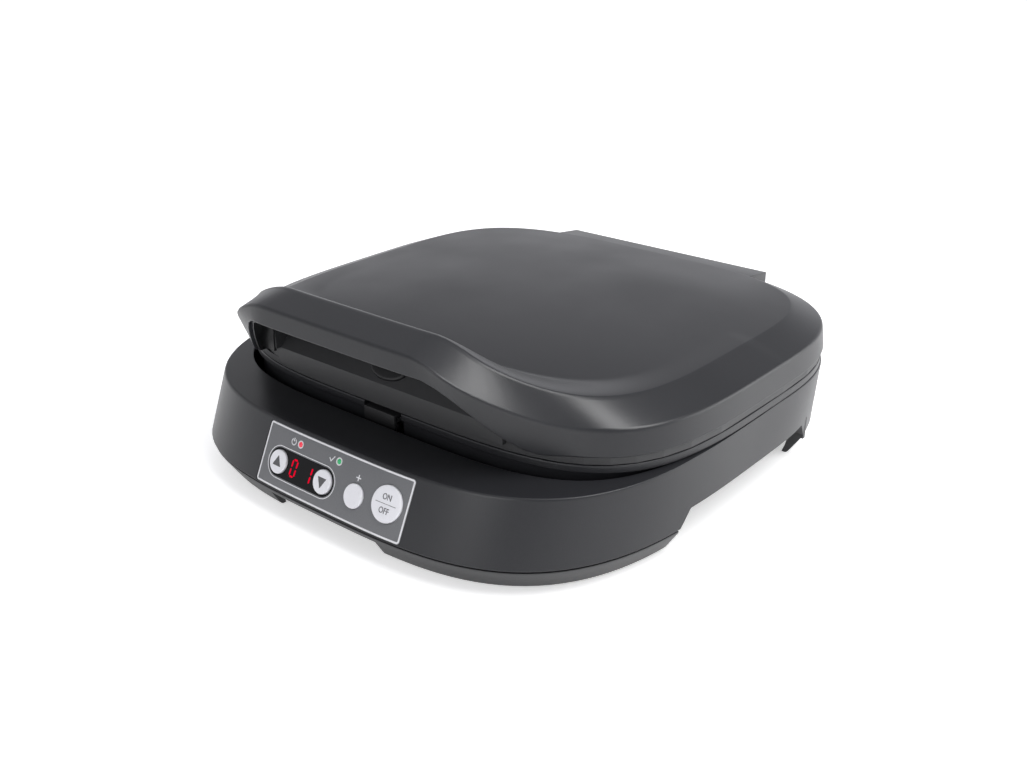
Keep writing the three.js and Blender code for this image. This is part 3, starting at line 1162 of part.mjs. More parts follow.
// The middle of the footprint goes to the origin
maker.position.y = -(WALL_FRONT_Y + REAR_WALL_Y) / 2;

export default maker;
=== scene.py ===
import json
import math

import bmesh
import bpy
from mathutils import Matrix, Vector


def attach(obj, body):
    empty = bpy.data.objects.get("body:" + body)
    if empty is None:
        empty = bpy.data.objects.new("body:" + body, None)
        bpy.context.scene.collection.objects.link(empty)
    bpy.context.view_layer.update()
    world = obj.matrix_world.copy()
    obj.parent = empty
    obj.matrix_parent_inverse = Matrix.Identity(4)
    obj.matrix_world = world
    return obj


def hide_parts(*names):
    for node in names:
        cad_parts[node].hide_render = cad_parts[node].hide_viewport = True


bl_info = {
    "name": "Pancake Maker",
    "version": (1, 0, 0),
    "blender": (4, 5, 0),
    "location": "View3D > Sidebar > Pancake Maker",
    "description": "Dresses the pancake maker's frame with moulded casings, a control panel, plates and a studio",
    "category": "Object",
}

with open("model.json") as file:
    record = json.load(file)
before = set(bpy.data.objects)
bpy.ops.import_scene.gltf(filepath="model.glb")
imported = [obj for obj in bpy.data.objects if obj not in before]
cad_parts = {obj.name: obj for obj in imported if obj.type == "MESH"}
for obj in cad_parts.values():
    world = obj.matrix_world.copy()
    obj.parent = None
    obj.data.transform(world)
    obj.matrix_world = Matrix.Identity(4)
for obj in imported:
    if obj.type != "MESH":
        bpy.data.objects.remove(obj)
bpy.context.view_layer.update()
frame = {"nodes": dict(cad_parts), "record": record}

UP = Vector((0, 0, 1))
BACK = Vector((0, 1, 0))

# Sizes that follow the CAD model, in metres. The outlines are centred on the footprint.
SHIFT = 0.0091
LID = dict(half=0.1475, middle=0.027, front=0.143, rear=0.114, front_power=4.24, rear_power=2.92)
PLATEAU = dict(half=0.1274, middle=0.027, front=0.128, rear=0.096, front_power=4.43, rear_power=3.45)
SEAM = dict(half=0.1491, middle=0.0047, rear_middle=0.0047, front=0.1689, rear=0.1413,
            front_power=3.42, rear_power=3.0)
BODY_TOP = dict(half=0.1484, middle=0.0047, rear_middle=0.027, front=0.1521, rear=0.1176,
                front_power=3.5, rear_power=2.92)
PLATE = dict(half=0.131, middle=0.006, front=0.108, rear=0.108, front_power=6.0, rear_power=6.0)

SEAM_Z = 0.0149
RIM_Z = 0.05
PARTING_Z = 0.0539
LID_Z = 0.0545
SKIRT_Z = 0.0584
CREASE_Z = 0.0712
PLATEAU_Z = 0.0786
CROWN = 0.005
SHELL = 0.0026
GAP = 0.00035
BODY_TOP_Z = RIM_Z - GAP
SKIRT_PAST = 0.0016

HANDLE_FRONT = dict(push=0.033, push_flat=0.065, push_run=0.057, rise=0.0344, rise_flat=0.0507,
                    rise_run=0.0684)
HANDLE_REAR = dict(push=0.029, push_flat=0.0704, push_run=0.0717, rise=0.0312, rise_flat=0.0486,
                   rise_run=0.0826)
HANDLE_LOW = dict(push=0.033, push_flat=0.05, push_run=0.065, rise=0.0379, rise_flat=0.0544, rise_run=0.0489)
SWEEP_START = 0.88
GRIP_REAR_Y = -0.1196 + SHIFT
GRIP_CEILING = 0.0956
GRIP_HALF = 0.078
GRIP_CORNER = 0.008
BAND_TOP = 0.0665

HOUSING = dict(half=0.0735, front=0.108, front_top=0.0787, rear=0.145, rear_top=0.074, low=0.0466)
HINGE_SLOT = (0.0568, 0.0662)
HINGE_WELL_HALF = 0.0775
HINGE_WELL_Y = 0.1225 + SHIFT
GLAND_AT = Vector((0.012, 0.146 + SHIFT, 0.03))
GLAND_ROUND = 0.0066

BODY_WALL = 0.0028
DECK_FRONT = 0.149
DECK_FRONT_Z = 0.046
DECK_SLOPE = 0.04
NOTCH_TOP = 0.0235
FLOOR_Z = 0.0122
FLOOR_TOP_Z = 0.0146
TRAY_TOP_Z = 0.0252
TRAY_PAST = 0.00315
TRAY_INNER_PAST = 0.00555
GROOVE_HIGH = 0.0007
FRONT_GAP_TOP = 0.0108
BELOW = -0.01

WELL_SPOTS = [(x, y + SHIFT) for x in (-0.062, 0.062) for y in (-0.045, 0.057)]
FOOT_SPOTS = ((-0.104, -0.118), (0.104, -0.118), (-0.096, 0.104), (0.096, 0.104))

# The panel, in its own frame: u to the right, v up the panel and w out of it
PANEL_X = 0.003
PANEL_Z = 0.0304
PANEL_TILT = math.radians(25.4)
PANEL_WIDE = 0.1023
PANEL_HIGH = 0.0319
FILM_U = 0.0004
FILM_V = -0.0004
FILM_BACK = -0.0016
FILM_FACE = -0.0001
PRINT_TOP = FILM_FACE + 0.00006
PRINT_LOW = FILM_FACE - 0.0002
WINDOW_LEFT = -0.0374
WINDOW_RIGHT = -0.0042
WINDOW_V = -0.0028
WINDOW_ROUND = 0.0073
BUTTON_ROUND = 0.0061
START_ROUND = 0.0091
HOLE_CLEARANCE = 0.0003
HOLE_REACH = 0.004
LAMP_V = 0.0098
LAMP_ROUND = 0.0014
LAMPS = {"power": (-0.0255, "red_lens"), "ready": (0.0028, "green_lens")}
BUTTONS = {
    "up_button": (WINDOW_LEFT, WINDOW_V, BUTTON_ROUND),
    "down_button": (WINDOW_RIGHT, WINDOW_V, BUTTON_ROUND),
    "more_button": (0.0178, -0.0028, BUTTON_ROUND),
    "start_button": (0.0388, 0.0, START_ROUND),
}
# A piece on the panel is cut into strips of this width, so that it follows the wall
STRIP = 0.004

# The digits' lit segments, and each segment's ends in half widths and half heights of a digit
LIT_SEGMENTS = {"0": "abcdef", "1": "bc"}
SEGMENT_ENDS = {
    "a": ((-1, 1), (1, 1)), "b": ((1, 1), (1, 0)), "c": ((1, 0), (1, -1)),
    "d": ((-1, -1), (1, -1)), "e": ((-1, 0), (-1, -1)), "f": ((-1, 1), (-1, 0)),
}
DIGIT_HALF = 0.0017
SEGMENT_WIDE = 0.00095
SEGMENT_SHRINK = 0.00035
DIGIT_SLANT = 0.07

# Steps of a quarter outline, and the finer steps that it is measured in
STATIONS = 44
FINE = 400
# How far the rear quarters start behind the front ones, so that no two points meet
QUARTER_GAP = 0.0004
WELD = 1e-7

# The studio: how bright its surroundings are, by the sine of the height above the horizon, then how bright
# they are at the front, and the floor's own light for the camera and in what mirrors it
WALL_LEVELS = ((0.12, 0.95), (0.28, 0.85), (0.4, 0.52), (0.52, 0.22), (0.66, 0.26), (0.85, 0.7), (1.0, 0.9))
FRONT_WALL = 0.6
FLOOR_SEEN = 0.52
FLOOR_MIRRORED = 0.4

# Each softbox's place, aim, size and power
SOFTBOXES = {
    "side softbox": ((1.25, 1.15, 0.42), (0, 0, 0.04), 1.1, 8.5),
    "top softbox": ((0.68, 0.04, 1.1), (0.08, -0.11, 0.08), 0.66, 10.0),
    "left softbox": ((-1.45, -0.3, 0.62), (0, 0, 0.04), 0.7, 0.6),
    "front softbox": ((0.06, -1.15, 0.56), (0, -0.05, 0.04), 0.4, 2.2),
}
CAMERA_AT = (0.38352, -0.47623 + SHIFT, 0.2979)
CAMERA_AHEAD = (-0.58246, 0.70448, -0.40553)
CAMERA_RIGHT = (0.7707, 0.6372, 0.0)


def length(name, description, default, low, high):
    """A length property with its own default and limits."""
    return bpy.props.FloatProperty(
        name=name, description=description, default=default, min=low, max=high, subtype="DISTANCE",
        unit="LENGTH")


def colour(name, description, default):
    """A colour property with its own default."""
    return bpy.props.FloatVectorProperty(
        name=name, description=description, default=default, min=0.0, max=1.0, size=3, subtype="COLOR")


class MakerSizes(bpy.types.PropertyGroup):
    """Sizes of the finish that the frame leaves open"""

    crease_round: length(
        "Crease rounding", "Radius along the lid's lower crease and the handle's front edge",
        0.0014, 0.0005, 0.006)
    plateau_round: length(
        "Top edge rounding", "Radius along the edge of the lid's flat top and the handle's ridge",
        0.002, 0.0005, 0.012)
    deck_round: length("Deck edge rounding", "Radius along the upper edge of the base", 0.0012, 0.0003, 0.004)
    line_width: length(
        "Frame line width", "Width of the pale printed line round the panel", 0.0009, 0.0003, 0.002)
    digit_height: length("Digit height", "Height of the display's digits", 0.0086, 0.006, 0.012)
    button_stand: length(
        "Button height", "How far the push buttons stand out of the panel", 0.0009, 0.0005, 0.003)
    grain: length("Grain size", "Size of the moulded plastic's surface grain", 0.0005, 0.0001, 0.002)


class MakerColours(bpy.types.PropertyGroup):
    """Colours of the materials"""

    casing: colour("Casing", "Charcoal plastic of the lid and the base", (0.0185, 0.019, 0.0218))
    pan: colour("Pan", "Charcoal plastic of the lower moulding and the lid frame", (0.042, 0.0425, 0.0445))
    # Partly painted shade: on the handle's liner and the latch hook this darker colour also stands in for the
    # shade in the pocket under the handle and in the gap under the lid
    dark_casing: colour(
        "Inner casing", "Darker plastic of the handle's liner, the latch and the gland",
        (0.011, 0.011, 0.012))
    fascia: colour("Panel", "Grey film of the control panel", (0.155, 0.158, 0.166))
    line: colour("Panel line", "Pale print on the panel", (0.78, 0.78, 0.8))
    window: colour("Display window", "Dark window over the digits", (0.012, 0.012, 0.013))
    digit: colour("Digits", "Lit segments of the display", (0.4, 0.0005, 0.012))
    pearl: colour("Buttons", "Pearly plastic of the push buttons", (0.86, 0.86, 0.9))
    mark: colour("Button marks", "Print on the push buttons", (0.1, 0.1, 0.105))
    red_lens: colour("Power lamp", "Lens of the power lamp", (0.75, 0.03, 0.06))
    green_lens: colour("Ready lamp", "Lens of the ready lamp", (0.02, 0.35, 0.12))
    plate: colour("Cooking plates", "Non-stick coating", (0.016, 0.016, 0.017))
    rubber: colour("Feet", "Rubber of the feet", (0.012, 0.012, 0.012))
    steel: colour("Steel", "Hinge and heating pieces", (0.36, 0.365, 0.375))
    aluminium: colour("Sheet metal", "Heat shields", (0.6, 0.61, 0.62))
    board: colour("Circuit board", "Solder mask of the boards", (0.012, 0.11, 0.045))
    nylon: colour("Nylon", "Terminal block and transformer former", (0.6, 0.57, 0.48))


def sizes():
    return bpy.context.scene.maker_sizes


def colours():
    return bpy.context.scene.maker_colours


# Materials

def new_material(name, base, roughness, **sockets):
    """A material with its nodes, its links and its shader, whose own sockets hold the values."""
    material = bpy.data.materials.new(name)
    material.use_nodes = True
    nodes, links = material.node_tree.nodes, material.node_tree.links
    shader = nodes["Principled BSDF"]
    shader.inputs["Base Color"].default_value = (*base, 1.0)
    shader.inputs["Roughness"].default_value = roughness
    for key, value in sockets.items():
        shader.inputs[key.replace("_", " ")].default_value = value
    return material, nodes, links, shader


def add_node(nodes, kind, values=None, **settings):
    """A node with its settings and the values of its sockets."""
    node = nodes.new("ShaderNode" + kind)
    for key, value in settings.items():
        setattr(node, key, value)
    for socket, value in (values or {}).items():
        node.inputs[socket].default_value = value
    return node


def add_noise(nodes, links, scale, detail, stretch=None):
    """A noise pattern in object space, drawn out along the axes by stretch."""
    source = add_node(nodes, "TexCoord").outputs["Object"]
    pattern = add_node(nodes, "TexNoise", {"Scale": scale, "Detail": detail})
    if stretch is not None:
        mapping = add_node(nodes, "Mapping", {"Scale": stretch})
        links.new(source, mapping.inputs["Vector"])
        source = mapping.outputs["Vector"]
    links.new(source, pattern.inputs["Vector"])
    return pattern.outputs["Fac"]


def remap(nodes, links, source, low, high):
    """source, from 0.3 to 0.7, as a value from low to high."""
    node = add_node(nodes, "MapRange", {"From Min": 0.3, "From Max": 0.7, "To Min": low, "To Max": high})
    links.new(source, node.inputs["Value"])
    return node.outputs["Result"]


def shade(base, factor):
    """A share of a colour, as a socket takes it."""
    return (*(min(1.0, channel * factor) for channel in base), 1.0)


def tint(nodes, links, factor, base, darker, lighter, shader):
    """Lets factor vary the shader's colour between two close shares of base."""
    mix = add_node(nodes, "Mix", data_type="RGBA")
    mix.inputs["A"].default_value = shade(base, darker)
    mix.inputs["B"].default_value = shade(base, lighter)
    links.new(factor, mix.inputs["Factor"])
    links.new(mix.outputs["Result"], shader.inputs["Base Color"])


def bump(nodes, links, height, strength, distance, shader):
    node = add_node(nodes, "Bump", {"Strength": strength, "Distance": distance})
    links.new(height, node.inputs["Height"])
    links.new(node.outputs["Normal"], shader.inputs["Normal"])


def grained_plastic(name, base, roughness, grain, depth):
    """Moulded plastic: a fine spark grain, and slow changes of sheen over the moulding."""
    material, nodes, links, shader = new_material(name, base, roughness)
    fine = add_noise(nodes, links, 1.0 / grain, 3.0)
    slow = add_noise(nodes, links, 18.0, 2.0)
    tint(nodes, links, fine, base, 0.8, 1.25, shader)
    links.new(remap(nodes, links, slow, roughness - 0.03, roughness + 0.04), shader.inputs["Roughness"])
    bump(nodes, links, fine, 0.35, depth, shader)
    return material


def smooth_plastic(name, base, roughness, **sockets):
    """Smooth plastic with a faint unevenness of its gloss."""
    material, nodes, links, shader = new_material(name, base, roughness, **sockets)
    slow = add_noise(nodes, links, 140.0, 2.0)
    gloss = remap(nodes, links, slow, max(0.02, roughness - 0.04), roughness + 0.05)
    links.new(gloss, shader.inputs["Roughness"])
    bump(nodes, links, slow, 0.05, 0.0002, shader)
    return material


def pearl_plastic(name, base):
    """Pearly lacquer: tiny flakes under a clear coat."""
    material, nodes, links, shader = new_material(
        name, base, 0.38, Metallic=0.05, Coat_Weight=0.35, Coat_Roughness=0.12)
    flakes = add_noise(nodes, links, 3200.0, 1.0)
    tint(nodes, links, flakes, base, 0.93, 1.06, shader)
    bump(nodes, links, flakes, 0.12, 0.00008, shader)
    return material


def lamp_lens(name, base, glow, coat=0.5):
    """A coloured lens that glows."""
    material, nodes, links, shader = new_material(
        name, base, 0.22, Coat_Weight=coat, Specular_IOR_Level=coat, Emission_Color=(*base, 1.0),
        Emission_Strength=glow)
    tint(nodes, links, add_noise(nodes, links, 900.0, 1.0), base, 0.85, 1.3, shader)
    return material


def brushed_metal(name, base, roughness, stretch):
    """Bare metal with fine rolling marks along one axis."""
    material, nodes, links, shader = new_material(name, base, roughness, Metallic=1.0)
    marks = add_noise(nodes, links, 60.0, 6.0, stretch)
    tint(nodes, links, marks, base, 0.82, 1.12, shader)
    links.new(remap(nodes, links, marks, roughness - 0.08, roughness + 0.12), shader.inputs["Roughness"])
    bump(nodes, links, marks, 0.12, 0.0001, shader)
    return material


def coated_plate(name, base):
    """Non-stick coating: a fine orange peel with sparse pale flecks."""
    material, nodes, links, shader = new_material(name, base, 0.34, Coat_Weight=0.25, Coat_Roughness=0.25)
    peel = add_noise(nodes, links, 900.0, 3.0)
    flecks = add_node(nodes, "TexVoronoi", {"Scale": 420.0})
    links.new(add_node(nodes, "TexCoord").outputs["Object"], flecks.inputs["Vector"])
    ramp = add_node(nodes, "ValToRGB")
    for element, spot, factor in zip(ramp.color_ramp.elements, (0.06, 0.14), (7.0, 1.0)):
        element.position = spot
        element.color = shade(base, factor)
    links.new(flecks.outputs["Distance"], ramp.inputs["Fac"])
    links.new(ramp.outputs["Color"], shader.inputs["Base Color"])
    links.new(remap(nodes, links, peel, 0.28, 0.44), shader.inputs["Roughness"])
    bump(nodes, links, peel, 0.2, 0.00015, shader)
    return material


def circuit_board(name, base):
    """Solder mask with faint darker and lighter traces."""
    material, nodes, links, shader = new_material(name, base, 0.35)
    traces = add_noise(nodes, links, 260.0, 0.0, (1.0, 0.25, 1.0))
    tint(nodes, links, remap(nodes, links, traces, 0.0, 1.0), base, 0.6, 1.5, shader)
    bump(nodes, links, traces, 0.15, 0.0001, shader)
    return material


def build_materials():
    """Every finish of the maker, by the name the pieces use."""
    c = colours()
    grain = sizes().grain
    return {
        "casing": grained_plastic("casing plastic", c.casing, 0.35, grain, 0.00009),
        "pan": grained_plastic("pan plastic", c.pan, 0.44, grain, 0.00005),
        # On the handle's liner and the latch hook this darker plastic is partly painted shade
        "dark_casing": grained_plastic("inner casing plastic and painted shade", c.dark_casing, 0.5, grain, 0.00008),
        "fascia": grained_plastic("panel film", c.fascia, 0.5, grain * 0.7, 0.00003),
        "line": smooth_plastic("panel print", c.line, 0.5),
        "window": smooth_plastic("display window", c.window, 0.2, Specular_IOR_Level=0.12),
        "digit": lamp_lens("lit segment", c.digit, 1.3, 0.0),
        "pearl": pearl_plastic("button lacquer", c.pearl),
        "mark": smooth_plastic("button print", c.mark, 0.5),
        "red_lens": lamp_lens("power lens", c.red_lens, 0.35),
        "green_lens": lamp_lens("ready lens", c.green_lens, 0.25),
        "plate": coated_plate("non-stick coating", c.plate),
        "rubber": grained_plastic("foot rubber", c.rubber, 0.8, grain * 2, 0.0001),
        "steel": brushed_metal("bare steel", c.steel, 0.32, (1.0, 12.0, 12.0)),
        "aluminium": brushed_metal("sheet metal", c.aluminium, 0.36, (0.5, 9.0, 9.0)),
        "board": circuit_board("circuit board", c.board),
        "nylon": smooth_plastic("natural nylon", c.nylon, 0.55),
    }


MATERIALS = {}

# The record's slot that each finish stands for
SLOT_OF = {
    "casing": "casing", "dark_casing": "dark_casing", "fascia": "fascia", "window": "display",
    "pearl": "pearl", "red_lens": "red_lens", "green_lens": "green_lens", "plate": "cooking_plate",
    "rubber": "foot_rubber", "steel": "steel", "aluminium": "shield", "board": "board", "nylon": "nylon",
    "pan": "casing", "line": "fascia", "digit": "display", "mark": "pearl",
}
# Finishes that share another one's slot, so no slot of the record calls for them
SHARES_SLOT = ("pan", "line", "digit", "mark")


# Outlines

def smooth(share):
    """A share kept from 0 to 1, with a level start and end."""
    share = min(1.0, max(0.0, share))
    return share * share * (3 - 2 * share)


def lengths_along(points):
    """How far along its run each point of a line lies."""
    run = [0.0]
    for first, second in zip(points, points[1:]):
        run.append(run[-1] + (second - first).length)
    return run


def quarter(plan, ahead):
    """A quarter of an outline, from the middle to the side, in even steps along it."""
    power = plan["front_power"] if ahead else plan["rear_power"]
    depth = -plan["front"] if ahead else plan["rear"]
    start = plan["middle"] if ahead else plan.get("rear_middle", plan["middle"]) + QUARTER_GAP
    fine = []
    for i in range(FINE + 1):
        angle = i / FINE * math.pi / 2
        across = max(0.0, math.sin(angle)) ** (2 / power)
        along = max(0.0, math.cos(angle)) ** (2 / power)
        fine.append(Vector((plan["half"] * across, start + depth * along)))
    run = lengths_along(fine)
    points = []
    j = 0
    for i in range(STATIONS + 1):
        goal = run[-1] * i / STATIONS
        while j < FINE - 1 and run[j + 1] < goal:
            j += 1
        share = (goal - run[j]) / max(1e-9, run[j + 1] - run[j])
        points.append(fine[j].lerp(fine[j + 1], min(1.0, share)))
    return points


def ring(plan, z):
    """An outline at height z, from the middle of the front round by the right side."""
    front = quarter(plan, True)
    rear = quarter(plan, False)
    right = front + rear[::-1]
    left = rear[1:] + front[:0:-1]
    flat = [(p.x, p.y) for p in right] + [(-p.x, p.y) for p in left]
    return [Vector((x, y + SHIFT, z)) for x, y in flat]


def grown(plan, by):
    return dict(plan, half=plan["half"] + by, front=plan["front"] + by, rear=plan["rear"] + by)


def fade(x, flat, run):
    """1 up to flat on either side of the middle, and down to 0 over run."""
    return smooth((flat + run - abs(x)) / run)


def bowed(points, plan, edge, share=1.0):
    """Pushes and raises the front of a ring into the handle's bow."""
    made = []
    for p in points:
        if p.y > plan["middle"] + SHIFT:
            made.append(p.copy())
            continue
        forward = share * edge["push"] * fade(p.x, edge["push_flat"], edge["push_run"])
        up = share * edge["rise"] * fade(p.x, edge["rise_flat"], edge["rise_run"])
        made.append(Vector((p.x, p.y - forward, p.z + up)))
    return made


def skirt_ring():
    """The lower edge of the lid's skirt, which rises under the handle."""
    plan = grown(LID, SKIRT_PAST)
    return bowed(ring(plan, SKIRT_Z), plan, HANDLE_LOW)


def inset_ring(points, inset, drop=0.0):
    """Moves a ring inward across its own run, and down."""
    count = len(points)
    made = []
    for i, p in enumerate(points):
        run = points[(i + 1) % count] - points[i - 1]
        run.z = 0
        run.normalize()
        made.append(Vector((p.x - run.y * inset, p.y + run.x * inset, p.z - drop)))
    return made


def on_corner(start, corner, end, t):
    """A point of the curve that rounds a corner, at t from 0 to 1."""
    return start * (1 - t) ** 2 + corner * (2 * t * (1 - t)) + end * t ** 2


def rounded_section(rings, radii):
    """Rings of a skin whose corner at each inner ring is rounded, with a support ring on either side."""
    steps, most, support = 5, 0.4, 0.2
    made = [rings[0]]
    for before, corner, after, radius in zip(rings, rings[1:], rings[2:], radii):
        if radius == 0:
            made.append(corner)
            continue
        levels = [[] for _ in range(steps + 3)]
        for a, p, b in zip(before, corner, after):
            back, ahead = a - p, b - p
            reach_back = min(radius, back.length * most)
            reach_ahead = min(radius, ahead.length * most)
            back.normalize()
            ahead.normalize()
            start, end = p + back * reach_back, p + ahead * reach_ahead
            levels[0].append(start + back * reach_back * support)
            for k in range(steps + 1):
                levels[k + 1].append(on_corner(start, p, end, k / steps))
            levels[-1].append(end + ahead * reach_ahead * support)
        made.extend(levels)
    made.append(rings[-1])
    return made


def soft_profile(points, radii):
    """A profile whose corners are rounded by their own radii."""
    steps, most = 4, 0.49
    flat = [Vector(p) for p in points]
    made = [flat[0]]
    for a, p, b, radius in zip(flat, flat[1:], flat[2:], radii):
        if radius == 0:
            made.append(p)
            continue
        back, ahead = a - p, b - p
        start = p + back.normalized() * min(radius, back.length * most)
        end = p + ahead.normalized() * min(radius, ahead.length * most)
        made += [on_corner(start, p, end, k / steps) for k in range(steps + 1)]
    made.append(flat[-1])
    return [(p.x, p.y) for p in made]


# Mesh tools

def new_verts(made):
    """The verts among what a bmesh operator made."""
    return [g for g in made["geom"] if isinstance(g, bmesh.types.BMVert)]


def facing_out(bm):
    bmesh.ops.recalc_face_normals(bm, faces=bm.faces[:])
    return bm


def add_row(bm, edges, place, points):
    """Extrudes a row of edges to points. place holds the number of each vert of the row."""
    made = bmesh.ops.extrude_edge_only(bm, edges=edges)
    step = {}
    for v in new_verts(made):
        for e in v.link_edges:
            other = e.other_vert(v)
            if other in place:
                step[v] = place[other]
                break
    for v, i in step.items():
        v.co = points[i]
    row = [g for g in made["geom"] if isinstance(g, bmesh.types.BMEdge)
           and g.verts[0] in step and g.verts[1] in step]
    return row, step


def skin(rings, first_pole=None, last_pole=None, closed=False):
    """A skin through rings of equal count, extruded from ring to ring and gathered at its poles."""
    bm = bmesh.new()
    start = [bm.verts.new(p) for p in rings[0]]
    first_row = [bm.edges.new((start[i], start[(i + 1) % len(start)])) for i in range(len(start))]
    rest = list(rings[1:])
    if last_pole is not None:
        rest.append([last_pole] * len(start))
    row, place = first_row, {v: i for i, v in enumerate(start)}
    for points in rest:
        row, place = add_row(bm, row, place, points)
    if last_pole is not None:
        bmesh.ops.pointmerge(bm, verts=list(place), merge_co=last_pole)
    if first_pole is not None:
        made = bmesh.ops.extrude_edge_only(bm, edges=first_row)
        bmesh.ops.pointmerge(bm, verts=new_verts(made), merge_co=first_pole)
    if closed:
        bmesh.ops.remove_doubles(bm, verts=start + list(place), dist=WELD)
    return facing_out(bm)


def chain(rows):
    """An open skin through rows of points, extruded from row to row."""
    bm = bmesh.new()
    verts = [bm.verts.new(p) for p in rows[0]]
    row, place = [bm.edges.new(pair) for pair in zip(verts, verts[1:])], {v: i for i, v in enumerate(verts)}
    for points in rows[1:]:
        row, place = add_row(bm, row, place, points)
    return bm


def spun(profile, centre, axis, segments):
    """Turns a profile of (radius, height) points full circle about axis through centre."""
    bm = bmesh.new()
    turn = UP.rotation_difference(axis).to_matrix()
    verts = [bm.verts.new(centre + turn @ Vector((r, 0, h))) for r, h in profile]
    edges = [bm.edges.new(pair) for pair in zip(verts, verts[1:])]
    bmesh.ops.spin(bm, geom=verts + edges, cent=centre, axis=axis, angle=math.tau, steps=segments,
                   use_merge=True)
    bmesh.ops.remove_doubles(bm, verts=bm.verts[:], dist=WELD)
    return facing_out(bm)


def rod(centre, radius, reach, axis=UP, segments=64):
    """A round solid that reaches equally far either way along axis."""
    return spun([(0, -reach), (radius, -reach), (radius, reach), (0, reach)], centre, axis, segments)


def raised(bm, face, by):
    """Extrudes a face by a vector, and gives back the verts that moved."""
    verts = new_verts(bmesh.ops.extrude_face_region(bm, geom=[face]))
    bmesh.ops.translate(bm, vec=by, verts=verts)
    return verts


def add_prism(bm, outline, low, top):
    """Adds a flat outline of (u, v) points, raised from w = low to w = top."""
    raised(bm, bm.faces.new([bm.verts.new((u, v, low)) for u, v in outline]), (0, 0, top - low))


def rounded_plate(wide, high, radius, low, top, u, v, edge=0.0, segments=10):
    """A flat plate with round corners, from w = low to w = top, with its upper rim eased."""
    bm = bmesh.new()
    made = bmesh.ops.create_grid(bm, x_segments=1, y_segments=1, size=0.5)["verts"]
    bmesh.ops.scale(bm, vec=(wide, high, 1), verts=made)
    bmesh.ops.translate(bm, vec=(u, v, low), verts=made)
    bmesh.ops.bevel(bm, geom=made, offset=radius, offset_type="OFFSET", affect="VERTICES", segments=segments,
                    profile=0.5, material=-1)
    lifted = raised(bm, max(bm.faces, key=lambda f: f.calc_area()), (0, 0, top - low))
    if edge > 0:
        rim = [e for e in bm.edges if e.verts[0] in lifted and e.verts[1] in lifted]
        bmesh.ops.bevel(bm, geom=rim, offset=edge, offset_type="OFFSET", affect="EDGES", segments=2,
                        profile=0.5, material=-1)
    return facing_out(bm)


def ring_plate(wide, high, radius, line, u, v, segments=12):
    """A printed line of even width round a rounded rectangle."""
    def outline(shrink):
        x, y, r = wide / 2 - shrink, high / 2 - shrink, max(0.0001, radius - shrink)
        points = []
        corners = ((x - r, y - r, 0), (r - x, y - r, 90), (r - x, r - y, 180), (x - r, r - y, 270))
        for cx, cy, start in corners:
            for k in range(segments + 1):
                angle = math.radians(start + 90 * k / segments)
                points.append((u + cx + r * math.cos(angle), v + cy + r * math.sin(angle)))
        return points
    outer, inner = outline(0.0), outline(line)
    return skin([[Vector((x, y, w)) for x, y in points] for points, w in (
        (outer, PRINT_LOW), (outer, PRINT_TOP), (inner, PRINT_TOP), (inner, PRINT_LOW), (outer, PRINT_LOW))],
        closed=True)


def block(low, high):
    """A box between two corners."""
    bm = bmesh.new()
    made = bmesh.ops.create_cube(bm, size=1.0)["verts"]
    low, high = Vector(low), Vector(high)
    bmesh.ops.scale(bm, vec=high - low, verts=made)
    bmesh.ops.translate(bm, vec=(low + high) / 2, verts=made)
    return bm


def run_along_x(section, left, right):
    """A section of (y, z) points run from left to right."""
    bm = bmesh.new()
    face = bm.faces.new([bm.verts.new((left, y + SHIFT, z)) for y, z in section])
    raised(bm, face, (right - left, 0, 0))
    return facing_out(bm)


def slab_section(front, rear, top):
    return [(front, BELOW), (front, top), (rear, top), (rear, BELOW)]


def notch_section(top):
    """The gap between the front and the rear feet, seen from the side."""
    return [(-0.066, BELOW), (-0.066, SEAM_Z), (-0.058, top), (0.058, top), (0.064, SEAM_Z), (0.064, BELOW)]


def as_object(bm, name):
    """A linked object from a bmesh, at the origin."""
    mesh = bpy.data.meshes.new(name)
    bm.to_mesh(mesh)
    bm.free()
    made = bpy.data.objects.new(name, mesh)
    bpy.context.collection.objects.link(made)
    return made


def as_bmesh(mesh):
    """A bmesh in place of a mesh, which goes."""
    bm = bmesh.new()
    bm.from_mesh(mesh)
    bpy.data.meshes.remove(mesh)
    return bm


def evaluated_mesh(piece):
    bpy.context.view_layer.update()
    return bpy.data.meshes.new_from_object(piece.evaluated_get(bpy.context.evaluated_depsgraph_get()))


def modified(piece, kind, **settings):
    """Keeps a modifier's result in a piece's mesh."""
    step = piece.modifiers.new(kind.lower(), kind)
    for key, value in settings.items():
        setattr(step, key, value)
    result = evaluated_mesh(piece)
    piece.modifiers.remove(step)
    old = piece.data
    piece.data = result
    result.name = piece.name
    bpy.data.meshes.remove(old)
    return piece


def carve(target, bm, name, operation="DIFFERENCE"):
    """Cuts the solid in bm out of target, or joins it on."""
    tool = as_object(bm, name)
    modified(target, "BOOLEAN", operation=operation, solver="EXACT", object=tool)
    bpy.data.meshes.remove(tool.data)


def ease_edges(target, width, segments=2):
    """A small bevel along the sharp edges."""
    modified(target, "BEVEL", width=width, segments=segments, limit_method="ANGLE",
             angle_limit=math.radians(40.0), harden_normals=False)


def settle(piece, body, finish, *nodes, angle=32.0):
    """Gives a piece its finish and smooth faces, ties it to its body and hides the nodes it stands for."""
    bm = bmesh.new()
    bm.from_mesh(piece.data)
    for face in bm.faces:
        face.smooth = True
    for e in bm.edges:
        e.smooth = len(e.link_faces) == 2 and e.calc_face_angle(0.0) < math.radians(angle)
    bm.to_mesh(piece.data)
    bm.free()
    piece.data.materials.clear()
    piece.data.materials.append(MATERIALS[finish])
    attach(piece, body)
    if nodes:
        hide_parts(*nodes)
    return piece


# The base's sloping wall and the panel on it

def body_plan(z):
    """The base's outline at a height between the seam and the top."""
    share = (z - SEAM_Z) / (BODY_TOP_Z - SEAM_Z)
    return {key: SEAM[key] + (BODY_TOP[key] - SEAM[key]) * share for key in SEAM}


